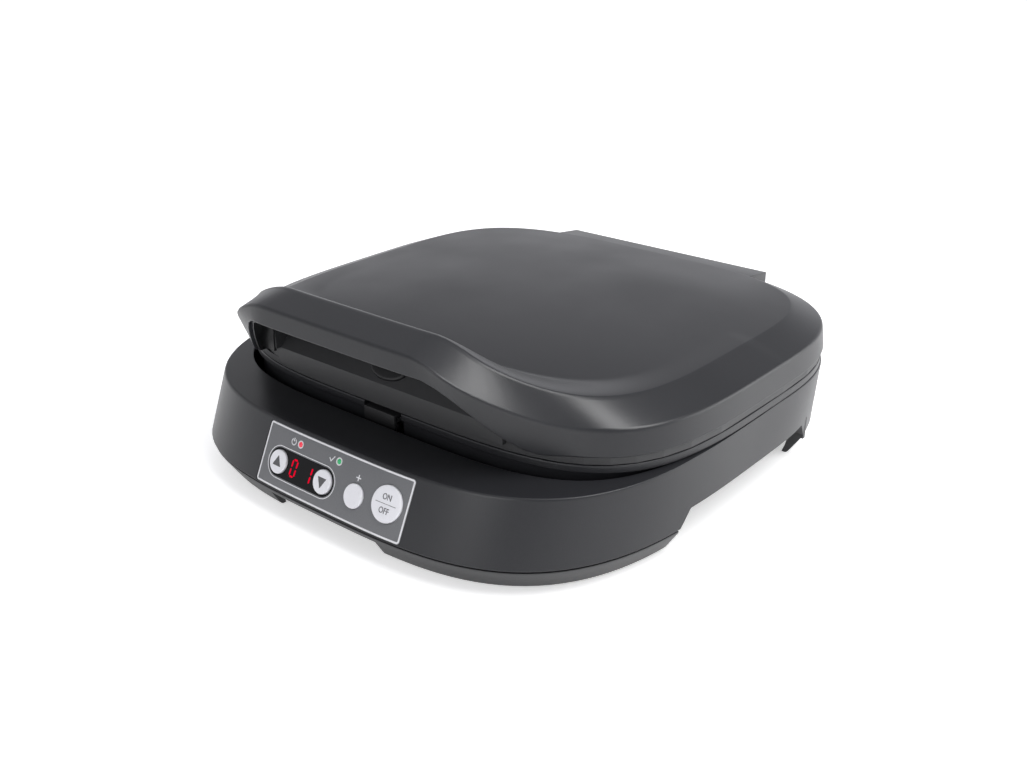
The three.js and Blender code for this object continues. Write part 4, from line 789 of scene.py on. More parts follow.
def wall_y(x, z):
    """Where the front wall's outside stands."""
    plan = body_plan(z)
    across = min(1.0, abs(x) / plan["half"])
    along = (1 - across ** plan["front_power"]) ** (1 / plan["front_power"])
    return plan["middle"] - plan["front"] * along + SHIFT


OUTWARD = Vector((0, -math.cos(PANEL_TILT), math.sin(PANEL_TILT)))


def on_panel(u, v, w=0.0):
    """A point on the panel, from its place in the panel's own frame."""
    x = PANEL_X + u
    z = PANEL_Z + v * math.cos(PANEL_TILT)
    return Vector((x, wall_y(x, z), z)) + OUTWARD * w


def lay_on_panel(bm):
    """Lays a piece made in u, v and w on the curved wall."""
    us = [v.co.x for v in bm.verts]
    low, high = min(us), max(us)
    cut = math.ceil(low / STRIP) * STRIP
    while cut < high:
        bmesh.ops.bisect_plane(bm, geom=bm.verts[:] + bm.edges[:] + bm.faces[:], dist=WELD,
                               plane_co=(cut, 0, 0), plane_no=(1, 0, 0))
        cut += STRIP
    for v in bm.verts:
        v.co = on_panel(*v.co)
    return facing_out(bm)


def settle_on_panel(bm, name, body, finish, *nodes, angle=32.0):
    """Lays a piece on the panel and settles it."""
    settle(as_object(lay_on_panel(bm), name), body, finish, *nodes, angle=angle)


class MAKER_OT_materials(bpy.types.Operator):
    """Makes every finish and gives it to the pieces that are carried over"""

    bl_idname = "maker.materials"
    bl_label = "Finishes"

    def execute(self, context):
        MATERIALS.update(build_materials())
        finish_of = {slot: finish for finish, slot in SLOT_OF.items() if finish not in SHARES_SLOT}
        for part in frame["record"]["subparts"]:
            node = frame["nodes"][part["node"]]
            finish = MATERIALS["pan" if part["node"] == "lid_frame" else finish_of[part["material_slot"]]]
            node.data.materials.clear()
            node.data.materials.append(finish)
        return {"FINISHED"}


class MAKER_OT_lid_cover(bpy.types.Operator):
    """Builds the lid's outer moulding with its bow handle and hinge housing"""

    bl_idname = "maker.lid_cover"
    bl_label = "Lid cover"

    def execute(self, context):
        s = sizes()
        low = skirt_ring()
        crease = bowed(ring(LID, CREASE_Z), LID, HANDLE_FRONT)
        edge = bowed(ring(PLATEAU, PLATEAU_Z), PLATEAU, HANDLE_REAR)

        def top_ring(share, depth=0.0):
            plan = dict(PLATEAU, front=PLATEAU["front"] * share, rear=PLATEAU["rear"] * share)
            height = PLATEAU_Z + CROWN * (1 - share * share)
            sweep = fade(1 - share, 0.0, 1 - SWEEP_START)
            wide = bowed(ring(plan, height), PLATEAU, HANDLE_REAR, sweep)
            return [Vector((p.x * share, p.y, p.z - depth)) for p in wide]

        # The top's rings lie close together where it sweeps up to the handle
        shares = [i / 100 for i in range(99, 86, -1)] + [0.85, 0.8, 0.72, 0.62, 0.5, 0.38, 0.25, 0.12]
        outer = [low, crease, edge] + [top_ring(share) for share in shares]
        depth = SHELL * 1.15
        inner = [top_ring(share, depth) for share in (0.12, 0.5, 0.87, 0.9, 0.925, 0.95, 0.975)]
        inner_sides = [inset_ring(edge, SHELL * 0.5, depth), inset_ring(crease, SHELL, SHELL * 0.75),
                       inset_ring(low, SHELL)]
        radii = ([0.0] * len(inner) + [0.0, 0.0005, 0.0007, s.crease_round, s.plateau_round]
                 + [0.0] * (len(shares) - 1))
        top = Vector((0, LID["middle"] + SHIFT, PLATEAU_Z + CROWN))
        bm = skin(rounded_section(inner + inner_sides + outer, radii),
                  first_pole=top - Vector((0, 0, depth)), last_pole=top)
        settle(as_object(bm, "lid_cover_shell"), "lid", "casing", "lid_cover", angle=50)

        half, front, rear, top_z = HOUSING["half"], HOUSING["front"], HOUSING["rear"], HOUSING["rear_top"]
        outside = [(front, HOUSING["front_top"]), (front, SKIRT_Z), (rear - SHELL, SKIRT_Z),
                   (rear - SHELL, HOUSING["low"]), (rear, HOUSING["low"]), (rear, top_z)]
        housing = as_object(run_along_x(outside, -half, half), "lid_hinge_housing")
        hollow = [(front - 0.008, HOUSING["front_top"] - SHELL), (front - 0.008, SKIRT_Z - 0.01),
                  (rear - SHELL, SKIRT_Z - 0.01), (rear - SHELL, top_z - SHELL)]
        carve(housing, run_along_x(hollow, SHELL - half, half - SHELL), "hollow")
        for side in (-1, 1):
            left, right = sorted(side * x for x in HINGE_SLOT)
            slot = block((left, rear + SHIFT - 0.008, 0.03), (right, rear + SHIFT + 0.008, 0.066))
            carve(housing, slot, "slot")
        ease_edges(housing, 0.0022, 4)
        settle(housing, "lid", "casing", "lid_cover")
        return {"FINISHED"}


def grip_arch(run):
    """The rear edge of the handle's liner, an arch with round corners: a point for each of run's lengths."""
    top_half = GRIP_HALF - GRIP_CORNER
    turn_run = GRIP_CORNER * math.pi / 2
    drop = GRIP_CEILING - GRIP_CORNER - BAND_TOP + 0.0015
    whole = 2 * top_half + 2 * (turn_run + drop)
    arch = []
    for reached in run:
        along = abs(reached / run[-1] - 0.5) * whole
        side = -1 if reached < run[-1] / 2 else 1
        if along < top_half:
            x, z = along, GRIP_CEILING
        elif along < top_half + turn_run:
            angle = (along - top_half) / GRIP_CORNER
            x = top_half + GRIP_CORNER * math.sin(angle)
            z = GRIP_CEILING - GRIP_CORNER + GRIP_CORNER * math.cos(angle)
        else:
            x, z = GRIP_HALF, GRIP_CEILING - GRIP_CORNER - (along - top_half - turn_run)
        arch.append(Vector((side * x, GRIP_REAR_Y, z)))
    return arch


class MAKER_OT_grip(bpy.types.Operator):
    """Builds the liner under the bow handle and the ends of the band below it"""

    bl_idname = "maker.grip"
    bl_label = "Handle grip"

    def execute(self, context):
        edge = inset_ring(skirt_ring(), SHELL * 0.8)
        reach = HANDLE_LOW["rise_flat"] + HANDLE_LOW["rise_run"]
        front = sorted((p for p in edge if p.y < 0 and abs(p.x) < reach), key=lambda p: p.x)
        arch = grip_arch(lengths_along(front))
        steps, hollow = 6, 0.0016
        rows = []
        for k in range(steps + 1):
            lift = Vector((0, 0, hollow * math.sin(math.pi * (k / steps))))
            rows.append([a.lerp(b, k / steps) + lift for a, b in zip(front, arch)])
        liner = modified(as_object(facing_out(chain(rows)), "handle_liner"), "SOLIDIFY", thickness=0.0016,
                         offset=0.0)
        # The liner's darker plastic is partly painted shade: it also stands in for the shade in the pocket under
        # the handle
        settle(liner, "lid", "dark_casing", "handle_grip", angle=60)

        low, top = 0.0582, BAND_TOP - 0.0002
        for name, side in (("left", -1), ("right", 1)):
            ends = sorted((p for p in ring(LID, 0.0) if p.y < 0 and 0.064 < side * p.x < 0.112),
                          key=lambda p: p.x)
            wings = [smooth((abs(p.x) - 0.084) / 0.02) for p in ends]
            outer = [Vector((p.x, p.y - 0.0007 + 0.0019 * wing, 0.0)) for p, wing in zip(ends, wings)]
            inner = [Vector((p.x, p.y + 0.0085, 0.0)) for p in outer]
            bm = chain([[Vector((p.x, p.y, z)) for p in points] for points, z in (
                (outer, low), (outer, top), (inner, top), (inner, low), (outer, low))])
            bmesh.ops.remove_doubles(bm, verts=bm.verts[:], dist=WELD)
            bmesh.ops.holes_fill(bm, edges=[e for e in bm.edges if e.is_boundary], sides=4)
            settle(as_object(facing_out(bm), name + "_band_end"), "lid", "pan")
        return {"FINISHED"}


class MAKER_OT_base_body(bpy.types.Operator):
    """Builds the base's outer moulding with its deck and panel seat"""

    bl_idname = "maker.base_body"
    bl_label = "Base body"

    def execute(self, context):
        def deck(y):
            return min(BODY_TOP_Z, DECK_FRONT_Z + DECK_SLOPE * (y - SHIFT + DECK_FRONT))

        seam = ring(SEAM, SEAM_Z)
        crest = []
        for a, b in zip(seam, ring(BODY_TOP, BODY_TOP_Z)):
            z = BODY_TOP_Z
            for _ in range(4):
                share = (z - SEAM_Z) / (BODY_TOP_Z - SEAM_Z)
                z = deck(a.lerp(b, share).y)
            crest.append(a.lerp(b, (z - SEAM_Z) / (BODY_TOP_Z - SEAM_Z)))
        opening_plan = dict(LID, half=0.1453, front=DECK_FRONT, rear=0.113)
        opening = [Vector((p.x, p.y, deck(p.y))) for p in ring(opening_plan, BODY_TOP_Z)]
        opening_low = [Vector((p.x, p.y, p.z - BODY_WALL)) for p in opening]
        inner_crest = [c.lerp(o, min(0.45, BODY_WALL / max(1e-6, (c - o).length))) - Vector((0, 0, BODY_WALL))
                       for c, o in zip(crest, opening)]
        rings = [inner_crest, inset_ring(seam, BODY_WALL), seam, crest, opening, opening_low, inner_crest]
        section = rounded_section(rings, [0.0003, 0.0006, sizes().deck_round, 0.0007, 0.0003])
        body = as_object(skin(section, closed=True), "base_body_shell")
        for side in (-1, 1):
            left, right = sorted((side * 0.12, side * 0.17))
            carve(body, run_along_x(notch_section(NOTCH_TOP), left, right), "notch")
        well = block((-HINGE_WELL_HALF, HINGE_WELL_Y, 0.0426), (HINGE_WELL_HALF, 0.17 + SHIFT, 0.06))
        carve(body, well, "well")
        seat_past = 0.0005
        seat = rounded_plate(
            PANEL_WIDE + seat_past, PANEL_HIGH + seat_past, 0.002, -0.006, 0.004, FILM_U, FILM_V)
        carve(body, lay_on_panel(seat), "seat")
        carve(body, rod(GLAND_AT, GLAND_ROUND, 0.02, BACK, 48), "gland hole")
        settle(body, "base", "casing", "base_body", angle=40)
        return {"FINISHED"}


class MAKER_OT_rims(bpy.types.Operator):
    """Builds the base's rim, whose upper edge lies at the parting line"""

    bl_idname = "maker.rims"
    bl_label = "Rims"

    def execute(self, context):
        skirt_z = 0.038
        outline = grown(LID, 0.0007)
        plate_edge = grown(PLATE, 0.0006)
        skirt = dict(LID, half=0.1446, front=0.142, rear=0.109)
        inner_skirt = grown(skirt, -0.0024)
        rings = [
            ring(plate_edge, RIM_Z), ring(inner_skirt, RIM_Z), ring(inner_skirt, skirt_z),
            ring(skirt, skirt_z), ring(skirt, RIM_Z), ring(outline, RIM_Z), ring(outline, PARTING_Z),
            ring(plate_edge, PARTING_Z), ring(plate_edge, RIM_Z),
        ]
        section = rounded_section(rings, [0.0003, 0.0003, 0.0003, 0.0003, 0.0005, 0.0009, 0.0005])
        rim = as_object(skin(section, closed=True), "base_rim_edge")
        carve(rim, block((-0.0132, -0.17, 0.03), (0.0132, -0.1082 + SHIFT, 0.06)), "latch notch")
        carve(rim, block((-HINGE_WELL_HALF, HINGE_WELL_Y, 0.03), (HINGE_WELL_HALF, 0.17, 0.06)), "hinge well")
        settle(rim, "base", "casing", "base_rim", angle=40)
        return {"FINISHED"}


class MAKER_OT_base_pan(bpy.types.Operator):
    """Builds the base's underside with its four skirted feet"""

    bl_idname = "maker.base_pan"
    bl_label = "Base pan"

    def execute(self, context):
        def tray(past, z):
            return ring(grown(body_plan(z), -past), z)

        def skirt(past, z):
            return ring(grown(SEAM, -past), z)

        lip_top = SEAM_Z - GAP
        groove_low = lip_top - GROOVE_HIGH
        foot_z = 0.001
        rings = [
            tray(TRAY_INNER_PAST, FLOOR_TOP_Z), tray(TRAY_INNER_PAST, TRAY_TOP_Z),
            tray(TRAY_PAST, TRAY_TOP_Z), tray(TRAY_PAST, lip_top), skirt(0.0026, lip_top),
            skirt(0.0026, groove_low), skirt(0.0006, groove_low), skirt(0.0009, lip_top - 0.0018),
            skirt(0.0082, foot_z), skirt(0.0112, foot_z), skirt(0.0072, FLOOR_Z),
        ]
        section = rounded_section(rings, [0.0004, 0.0004, 0.0, 0.0, 0.0002, 0.0005, 0.0, 0.0022, 0.0006])
        bm = skin(section, first_pole=Vector((0, 0, FLOOR_TOP_Z)), last_pole=Vector((0, 0, FLOOR_Z)))
        pan = as_object(bm, "base_pan_shell")
        for side in (-1, 1):
            left, right = sorted((side * 0.1286, side * 0.1455))
            core = block((left, -0.0684 + SHIFT, 0.0125), (right, 0.0664 + SHIFT, 0.025))
            carve(pan, core, "notch core", "UNION")
            left, right = sorted((side * 0.131, side * 0.17))
            carve(pan, run_along_x(notch_section(NOTCH_TOP - GAP), left, right), "notch")
        carve(pan, run_along_x(slab_section(-0.18, -0.1, FRONT_GAP_TOP), -0.038, 0.038), "front gap")
        carve(pan, run_along_x(slab_section(0.1, 0.18, FLOOR_Z), -0.096, 0.096), "rear gap")
        room_half = 0.058
        carve(pan, block((PANEL_X - room_half, -0.17, FLOOR_TOP_Z), (PANEL_X + room_half, -0.121, 0.04)),
              "panel room")
        settle(pan, "base", "pan", "base_pan", angle=35)
        return {"FINISHED"}


def add_segment(bm, a, b):
    """Adds one lit segment with pointed ends, between two points."""
    along = (b - a).normalized()
    side = Vector((-along.y, along.x)) * SEGMENT_WIDE / 2
    tip = along * SEGMENT_WIDE / 2
    add_prism(bm, [a, a + tip + side, b - tip + side, b, b - tip - side, a + tip - side], FILM_FACE - 0.0003,
              FILM_FACE - 0.00002)


def add_stroke(bm, points, width, low, top):
    """Adds a flat stroke of even width along points."""
    for first, second in zip(points, points[1:]):
        a, b = Vector(first), Vector(second)
        along = (b - a).normalized()
        side = Vector((-along.y, along.x)) * width / 2
        cap = along * width * 0.25
        add_prism(bm, [a - cap - side, b + cap - side, b + cap + side, a - cap + side], low, top)


def add_symbol(bm, kind, u, v, size):
    """Adds a plain symbol for power, ready or more. A stroke that crosses another stands a little higher."""
    above = PRINT_TOP + 0.00001
    if kind == "power":
        arc = [(u + size * math.sin(t), v + size * math.cos(t)) for t in
               [math.radians(40 + 280 * k / 14) for k in range(15)]]
        add_stroke(bm, arc, size * 0.34, PRINT_LOW, PRINT_TOP)
        add_stroke(bm, [(u, v + size * 0.2), (u, v + size * 1.2)], size * 0.34, PRINT_LOW, above)
    if kind == "tick":
        add_stroke(bm, [(u - size, v), (u - size * 0.2, v - size * 0.9), (u + size * 1.1, v + size * 0.9)],
                   size * 0.36, PRINT_LOW, PRINT_TOP)
    if kind == "plus":
        add_stroke(bm, [(u - size, v), (u + size, v)], size * 0.42, PRINT_LOW, PRINT_TOP)
        add_stroke(bm, [(u, v - size), (u, v + size)], size * 0.42, PRINT_LOW, above)


class MAKER_OT_panel(bpy.types.Operator):
    """Builds the control panel: film, printed lines and marks, window, digits and lamps"""

    bl_idname = "maker.panel"
    bl_label = "Control panel"

    def execute(self, context):
        s = sizes()
        middle = (WINDOW_LEFT + WINDOW_RIGHT) / 2
        wide = WINDOW_RIGHT - WINDOW_LEFT + 2 * WINDOW_ROUND
        high = 2 * WINDOW_ROUND
        fit = 0.0002

        film = as_object(rounded_plate(PANEL_WIDE, PANEL_HIGH, 0.0018, FILM_BACK, FILM_FACE, FILM_U, FILM_V,
                                       0.0002), "film")
        hole = rounded_plate(
            wide + fit, high + fit, WINDOW_ROUND + 0.00005, -HOLE_REACH, HOLE_REACH, middle, WINDOW_V)
        carve(film, hole, "window hole")
        holes = [BUTTONS["more_button"], BUTTONS["start_button"]]
        holes += [(u, LAMP_V, LAMP_ROUND + 0.0004) for u, _ in LAMPS.values()]
        for u, v, radius in holes:
            carve(film, rod(Vector((u, v, 0)), radius + HOLE_CLEARANCE, HOLE_REACH), "hole")
        settle_on_panel(as_bmesh(film.data), "panel_film", "base", "fascia", "panel_fascia", angle=25)

        inset, apart = 0.0006, 0.0021
        bm = ring_plate(PANEL_WIDE - inset, PANEL_HIGH - inset, 0.0015, s.line_width, FILM_U, FILM_V)
        settle_on_panel(bm, "panel_frame_line", "base", "line")
        bm = ring_plate(wide + apart, high + apart, WINDOW_ROUND + apart / 2, 0.0004, middle, WINDOW_V, 20)
        settle_on_panel(bm, "window_outline", "base", "line")

        # A corner of exactly half the height would leave no straight end, and the cuts would fail
        bm = rounded_plate(wide, high, WINDOW_ROUND - 0.00005, FILM_BACK, FILM_FACE - 0.0001, middle,
                           WINDOW_V, segments=20)
        window = as_object(bm, "window")
        for u in (WINDOW_LEFT, WINDOW_RIGHT):
            carve(window, rod(Vector((u, WINDOW_V, 0)), BUTTON_ROUND + HOLE_CLEARANCE, HOLE_REACH), "hole")
        settle_on_panel(
            as_bmesh(window.data), "display_window_face", "base", "window", "display_window", angle=25)

        bm = bmesh.new()
        half = s.digit_height / 2
        for digit, centre in (("0", middle - 0.0052), ("1", middle + 0.0058)):
            for name in LIT_SEGMENTS[digit]:
                first, second = (Vector((x * DIGIT_HALF, y * half)) for x, y in SEGMENT_ENDS[name])
                along = (second - first).normalized() * SEGMENT_SHRINK
                add_segment(bm, *(Vector((centre + x + y * DIGIT_SLANT, WINDOW_V + y))
                                  for x, y in (first + along, second - along)))
        settle_on_panel(bm, "display_digits", "base", "digit")

        for name, (u, finish) in LAMPS.items():
            centre = Vector((u, LAMP_V, FILM_FACE))
            profile = soft_profile([(0, -0.005), (LAMP_ROUND, -0.005), (LAMP_ROUND, 0.0001), (0, 0.0005)],
                                   [0.0002, 0.0004])
            settle_on_panel(spun(profile, centre, UP, 32), name + "_lamp", "base", finish, name + "_lens")
            near, far = LAMP_ROUND + 0.00005, LAMP_ROUND + 0.0006
            profile = [(near, -0.0008), (far, -0.0008), (far, 0.0001), (near, 0.0001), (near, -0.0008)]
            settle_on_panel(spun(profile, centre, UP, 32), name + "_lamp_ring", "base", "line")

        bm = bmesh.new()
        add_symbol(bm, "power", -0.0306, LAMP_V, 0.0016)
        add_symbol(bm, "tick", -0.0024, LAMP_V, 0.0015)
        add_symbol(bm, "plus", BUTTONS["more_button"][0], 0.0062, 0.0014)
        settle_on_panel(bm, "panel_symbols", "base", "line")
        return {"FINISHED"}


def word_bmesh(word):
    """A word in raised letters, centred on the origin."""
    text = bpy.data.curves.new(word, "FONT")
    text.body = word
    text.size = 0.0042
    text.align_x = "CENTER"
    text.align_y = "CENTER"
    text.extrude = 0.0003
    text.resolution_u = 4
    holder = bpy.data.objects.new(word, text)
    bpy.context.collection.objects.link(holder)
    mesh = evaluated_mesh(holder)
    bpy.data.objects.remove(holder)
    bpy.data.curves.remove(text)
    return as_bmesh(mesh)


class MAKER_OT_buttons(bpy.types.Operator):
    """Builds the four push buttons with their printed marks"""

    bl_idname = "maker.buttons"
    bl_label = "Push buttons"

    def execute(self, context):
        stand = sizes().button_stand
        sunk = 0.0003
        for name, (u, v, radius) in BUTTONS.items():
            crown = 0.0001 if radius == BUTTON_ROUND else 0.00015
            profile = soft_profile(
                [(0, -0.005), (radius, -0.005), (radius, stand), (radius * 0.6, stand + crown),
                 (0, stand + crown * 1.6)], [0.0002, 0.0007, 0.002])
            cap = spun(profile, Vector((u, v, 0)), UP, 96)
            settle_on_panel(cap, name + "_cap", name, "pearl", name, angle=45)

        size = 0.0034
        for body, sign in (("up_button", 1), ("down_button", -1)):
            u, v, _ = BUTTONS[body]
            bm = bmesh.new()
            outline = [(u - size * 0.88, v - sign * size * 0.62), (u + size * 0.88, v - sign * size * 0.62),
                       (u, v + sign * size * 0.98)]
            bm.faces.new([bm.verts.new((x, y, stand - sunk)) for x, y in outline])
            bmesh.ops.bevel(bm, geom=bm.verts[:], offset=0.0003, offset_type="OFFSET", affect="VERTICES",
                            segments=3, profile=0.5, material=-1)
            raised(bm, bm.faces[:][0], (0, 0, 0.00053))
            settle_on_panel(bm, body + "_arrow", body, "mark")

        u, v, _ = BUTTONS["start_button"]
        bm = bmesh.new()
        add_stroke(bm, [(u - 0.0062, v), (u + 0.0062, v)], 0.00022, stand - sunk, stand + 0.0003)
        settle_on_panel(bm, "start_button_line", "start_button", "mark")
        for word, height in (("ON", v + 0.0032), ("OFF", v - 0.0034)):
            bm = word_bmesh(word)
            bmesh.ops.scale(bm, vec=(0.85, 1, 1), verts=bm.verts[:])
            bmesh.ops.translate(bm, vec=(u, height, stand), verts=bm.verts[:])
            settle_on_panel(bm, "start_button_" + word.lower(), "start_button", "mark")
        return {"FINISHED"}


class MAKER_OT_latch(bpy.types.Operator):
    """Builds the latch's oval button and its hook"""

    bl_idname = "maker.latch"
    bl_label = "Latch"

    def execute(self, context):
        half, rise, stand = 0.0116, 0.006, 0.0014
        flange, flange_low, flange_top, stem, stem_low = rise + 0.001, -0.0035, -0.0026, 0.0024, -0.0064
        profile = soft_profile(
            [(0, stem_low), (stem, stem_low), (stem, flange_low), (flange, flange_low), (flange, flange_top),
             (rise, flange_top), (rise, stand), (rise * 0.5, stand + 0.0003), (0, stand + 0.0004)],
            [0.0002, 0, 0, 0.0002, 0, 0.0009, 0.002])
        bm = spun(profile, Vector((0, 0, 0)), UP, 96)
        bmesh.ops.scale(bm, vec=(half / rise, 1, 1), verts=bm.verts[:])
        place = Matrix.Translation((0, -0.11055 + SHIFT, 0.07265)) @ Matrix.Rotation(math.radians(45), 4, "X")
        bmesh.ops.transform(bm, matrix=place, verts=bm.verts[:])
        settle(as_object(bm, "latch_button_cap"), "latch_button", "dark_casing", "latch_button", angle=45)

        # From the shank's front down round the nose, along the blade and back over the arm
        section = [
            (-0.1193, 0.0529), (-0.1193, 0.0444), (-0.1169, 0.0444), (-0.1158, 0.047), (-0.1169, 0.047),
            (-0.1169, 0.0506), (-0.1092, 0.0506), (-0.1092, 0.0598), (-0.1003, 0.0598), (-0.1003, 0.068),
            (-0.1024, 0.068), (-0.1024, 0.0632), (-0.1065, 0.0649), (-0.1095, 0.0645), (-0.112, 0.0615),
            (-0.112, 0.0529),
        ]
        hook = as_object(run_along_x(section, -0.0109, 0.0109), "latch_hook_plate")
        ease_edges(hook, 0.0005)
        # The hook's darker plastic is partly painted shade: it also stands in for the shade in the gap under the
        # lid
        settle(hook, "latch_hook", "dark_casing", "latch_hook")
        return {"FINISHED"}


class MAKER_OT_plates(bpy.types.Operator):
    """Builds the two cooking plates with their round wells"""

    bl_idname = "maker.plates"
    bl_label = "Cooking plates"

    def execute(self, context):
        inner_plan = grown(PLATE, -0.003)
        wall = 0.003
        for name, body, depth, face_z, up in (
            ("lower", "base", 0.007, PARTING_Z, 1), ("upper", "lid", 0.005, LID_Z, -1),
        ):
            low = face_z - up * 0.0035
            rings = [ring(inner_plan, low), ring(PLATE, low), ring(PLATE, face_z), ring(inner_plan, face_z)]
            centre = Vector((0, PLATE["middle"] + SHIFT, 0))
            bm = skin(rounded_section(rings, [0.0003, 0.0009]), first_pole=centre + Vector((0, 0, low)),
                      last_pole=centre + Vector((0, 0, face_z)))
            plate = as_object(bm, name + "_plate_casting")
            cup = soft_profile(
                [(0, -(depth + wall)), (0.048, -(depth + wall)), (0.051, -0.0015), (0, -0.0015)],
                [0.003, 0.0])
            well = soft_profile([(0, -depth), (0.045, -depth), (0.048, 0.0), (0.0488, 0.003), (0, 0.003)],
                                [0.0025, 0.001, 0.0])
            for kind, profile, operation in (("cup", cup, "UNION"), ("well", well, "DIFFERENCE")):
                for x, y in WELL_SPOTS:
                    bm = spun([(r, h * up) for r, h in profile], Vector((x, y, face_z)), UP, 96)
                    carve(plate, bm, kind, operation)
            settle(plate, body, "plate", name + "_plate", angle=40)
        return {"FINISHED"}


class MAKER_OT_feet(bpy.types.Operator):
    """Builds the rubber feet and the cord gland"""

    bl_idname = "maker.feet"
    bl_label = "Feet and cord gland"

    def execute(self, context):
        pad, stem, pad_top, stem_top = 0.009, 0.003, 0.0032, 0.0082
        profile = soft_profile(
            [(0, 0.0003), (0.006, 0), (pad, 0), (pad, pad_top), (stem, pad_top), (stem, stem_top),
             (0, stem_top)],
            [0.0005, 0.0008, 0.0005, 0, 0.0004])
        for i, (x, y) in enumerate(FOOT_SPOTS):
            bm = spun(profile, Vector((x, y + SHIFT, 0)), UP, 48)
            settle(as_object(bm, f"rubber_foot_{i + 1}_pad"), "base", "rubber", f"rubber_foot_{i + 1}")
        bore, neck, collar = 0.0037, 0.0062, 0.0094
        profile = soft_profile(
            [(bore, -0.012), (neck, -0.012), (neck, -0.0045), (collar, -0.0045), (collar, -0.0035),
             (neck, -0.0035), (neck, 0.0003), (collar, 0.0003), (collar, 0.0018), (bore, 0.0018),
             (bore, -0.012)],
            [0.0005, 0, 0.0003, 0.0003, 0, 0, 0, 0.001, 0.0006])
        bush = as_object(spun(profile, GLAND_AT, BACK, 48), "cord_gland_bush")
        settle(bush, "base", "dark_casing", "cord_gland")
        return {"FINISHED"}


def mirror_share(nodes, links, path):
    """1 for the rays that show the background in a surface: glossy and transmission rays."""
    node = add_node(nodes, "Math", operation="MAXIMUM")
    links.new(path.outputs["Is Glossy Ray"], node.inputs[0])
    links.new(path.outputs["Is Transmission Ray"], node.inputs[1])
    return node.outputs["Value"]


def add_world(scene):
    """White walls, a darker band above them and a bright ceiling, and a white background for the camera."""
    world = bpy.data.worlds.new("studio light")
    world.use_nodes = True
    scene.world = world
    nodes, links = world.node_tree.nodes, world.node_tree.links
    axes = add_node(nodes, "SeparateXYZ")
    links.new(add_node(nodes, "TexCoord").outputs["Generated"], axes.inputs["Vector"])

    walls = add_node(nodes, "ValToRGB")
    elements = walls.color_ramp.elements
    elements[0].position = WALL_LEVELS[0][0]
    elements[1].position = WALL_LEVELS[-1][0]
    for spot, _ in WALL_LEVELS[1:-1]:
        elements.new(spot)
    for element, (_, level) in zip(elements, WALL_LEVELS):
        element.color = (level * 0.985, level * 0.99, level * 1.03, 1.0)
    links.new(axes.outputs["Z"], walls.inputs["Fac"])

    front = add_node(
        nodes, "MapRange", {"From Min": -1.0, "From Max": 0.0, "To Min": FRONT_WALL, "To Max": 1.0})
    links.new(axes.outputs["Y"], front.inputs["Value"])
    graded = add_node(nodes, "VectorMath", operation="SCALE")
    links.new(walls.outputs["Color"], graded.inputs[0])
    links.new(front.outputs["Result"], graded.inputs["Scale"])

    seen = add_node(nodes, "Mix", data_type="RGBA")
    seen.inputs["B"].default_value = (1.0, 1.0, 1.0, 1.0)
    links.new(add_node(nodes, "LightPath").outputs["Is Camera Ray"], seen.inputs["Factor"])
    links.new(graded.outputs["Vector"], seen.inputs["A"])
    light = nodes["Background"]
    links.new(seen.outputs["Result"], light.inputs["Color"])
    light.inputs["Strength"].default_value = 1.0


def add_floor():
    """A pale floor, with light of its own for the camera and for the rays that mirror it."""
    bm = bmesh.new()
    bmesh.ops.create_grid(bm, x_segments=1, y_segments=1, size=6.0)
    floor = as_object(bm, "studio_floor")
    material, nodes, links, shader = new_material(
        "studio floor", (0.9, 0.9, 0.9), 0.45, Emission_Color=(1.0, 1.0, 1.0, 1.0))
    tint(nodes, links, add_noise(nodes, links, 40.0, 2.0), (1.0, 1.0, 1.0), 0.895, 0.905, shader)
    path = add_node(nodes, "LightPath")
    glow = add_node(nodes, "Math", {1: FLOOR_SEEN}, operation="MULTIPLY")
    links.new(path.outputs["Is Camera Ray"], glow.inputs[0])
    mirrored = add_node(nodes, "Math", {1: FLOOR_MIRRORED}, operation="MULTIPLY_ADD")
    links.new(mirror_share(nodes, links, path), mirrored.inputs[0])
    links.new(glow.outputs["Value"], mirrored.inputs[2])
    links.new(mirrored.outputs["Value"], shader.inputs["Emission Strength"])
    floor.data.materials.append(material)


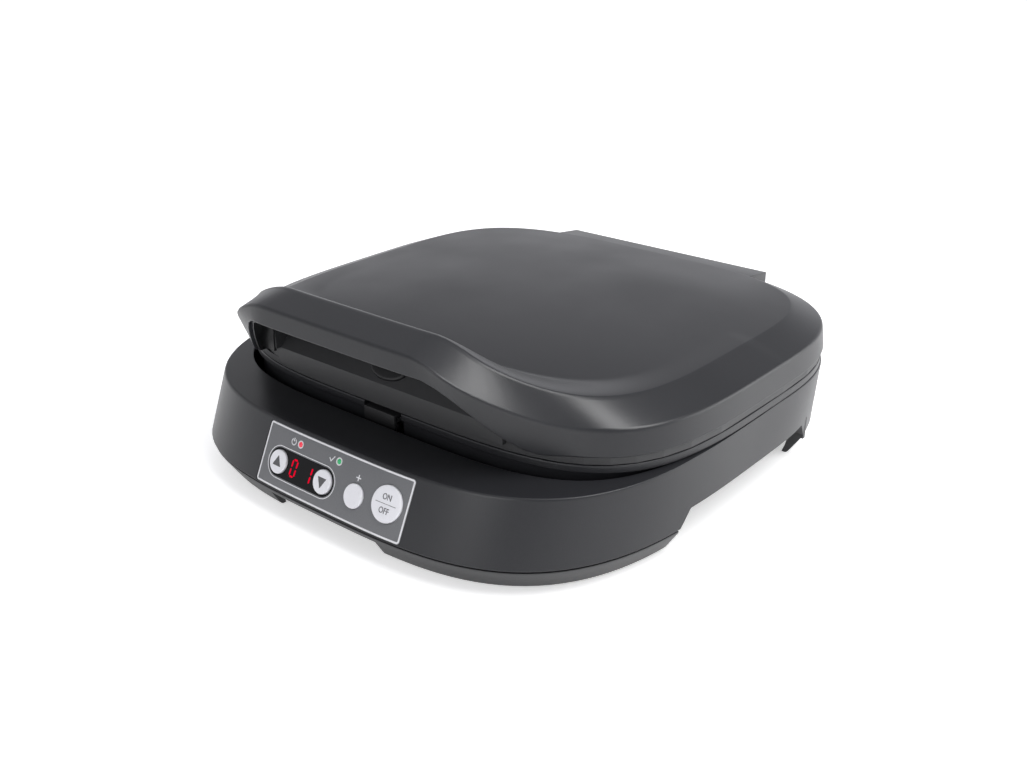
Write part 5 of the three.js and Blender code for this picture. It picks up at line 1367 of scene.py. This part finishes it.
class MAKER_OT_stage(bpy.types.Operator):
    """Sets up the floor, the lamps, the pale background and the camera"""

    bl_idname = "maker.stage"
    bl_label = "Studio"

    def execute(self, context):
        scene = bpy.context.scene
        scene.view_settings.view_transform = "Standard"
        add_floor()
        add_world(scene)
        for name, (place, aim, size, power) in SOFTBOXES.items():
            data = bpy.data.lights.new(name, "AREA")
            data.energy = power
            data.size = size
            lamp = bpy.data.objects.new(name, data)
            lamp.location = place
            lamp.rotation_euler = (Vector(aim) - Vector(place)).to_track_quat("-Z", "Y").to_euler()
            bpy.context.collection.objects.link(lamp)

        data = bpy.data.cameras.new("camera")
        data.lens = 39.92
        data.sensor_width = 36.0
        data.sensor_fit = "HORIZONTAL"
        camera = bpy.data.objects.new("camera", data)
        ahead = Vector(CAMERA_AHEAD).normalized()
        right = Vector(CAMERA_RIGHT).normalized()
        turn = Matrix((right, right.cross(ahead), -ahead)).transposed().to_4x4()
        camera.matrix_world = Matrix.Translation(CAMERA_AT) @ turn
        bpy.context.collection.objects.link(camera)
        scene.camera = camera
        return {"FINISHED"}


class MAKER_PT_panel(bpy.types.Panel):
    """Lists the pieces of the pancake maker"""

    bl_idname = "MAKER_PT_panel"
    bl_label = "Pancake Maker"
    bl_space_type = "VIEW_3D"
    bl_region_type = "UI"
    bl_category = "Pancake Maker"

    def draw(self, context):
        for group in (context.scene.maker_sizes, context.scene.maker_colours):
            for key in group.__annotations__:
                self.layout.prop(group, key)
        for operator in OPERATORS:
            self.layout.operator(operator.bl_idname)


OPERATORS = (
    MAKER_OT_materials, MAKER_OT_lid_cover, MAKER_OT_grip, MAKER_OT_base_body, MAKER_OT_rims,
    MAKER_OT_base_pan, MAKER_OT_panel, MAKER_OT_buttons, MAKER_OT_latch, MAKER_OT_plates, MAKER_OT_feet,
    MAKER_OT_stage,
)
CLASSES = (MakerSizes, MakerColours, *OPERATORS, MAKER_PT_panel)


def register():
    for cls in CLASSES:
        bpy.utils.register_class(cls)
    bpy.types.Scene.maker_sizes = bpy.props.PointerProperty(type=MakerSizes)
    bpy.types.Scene.maker_colours = bpy.props.PointerProperty(type=MakerColours)


def unregister():
    del bpy.types.Scene.maker_colours
    del bpy.types.Scene.maker_sizes
    for cls in reversed(CLASSES):
        bpy.utils.unregister_class(cls)


def main():
    register()
    for operator in OPERATORS:
        group, name = operator.bl_idname.split(".")
        getattr(getattr(bpy.ops, group), name)()


if __name__ == "__main__":
    main()
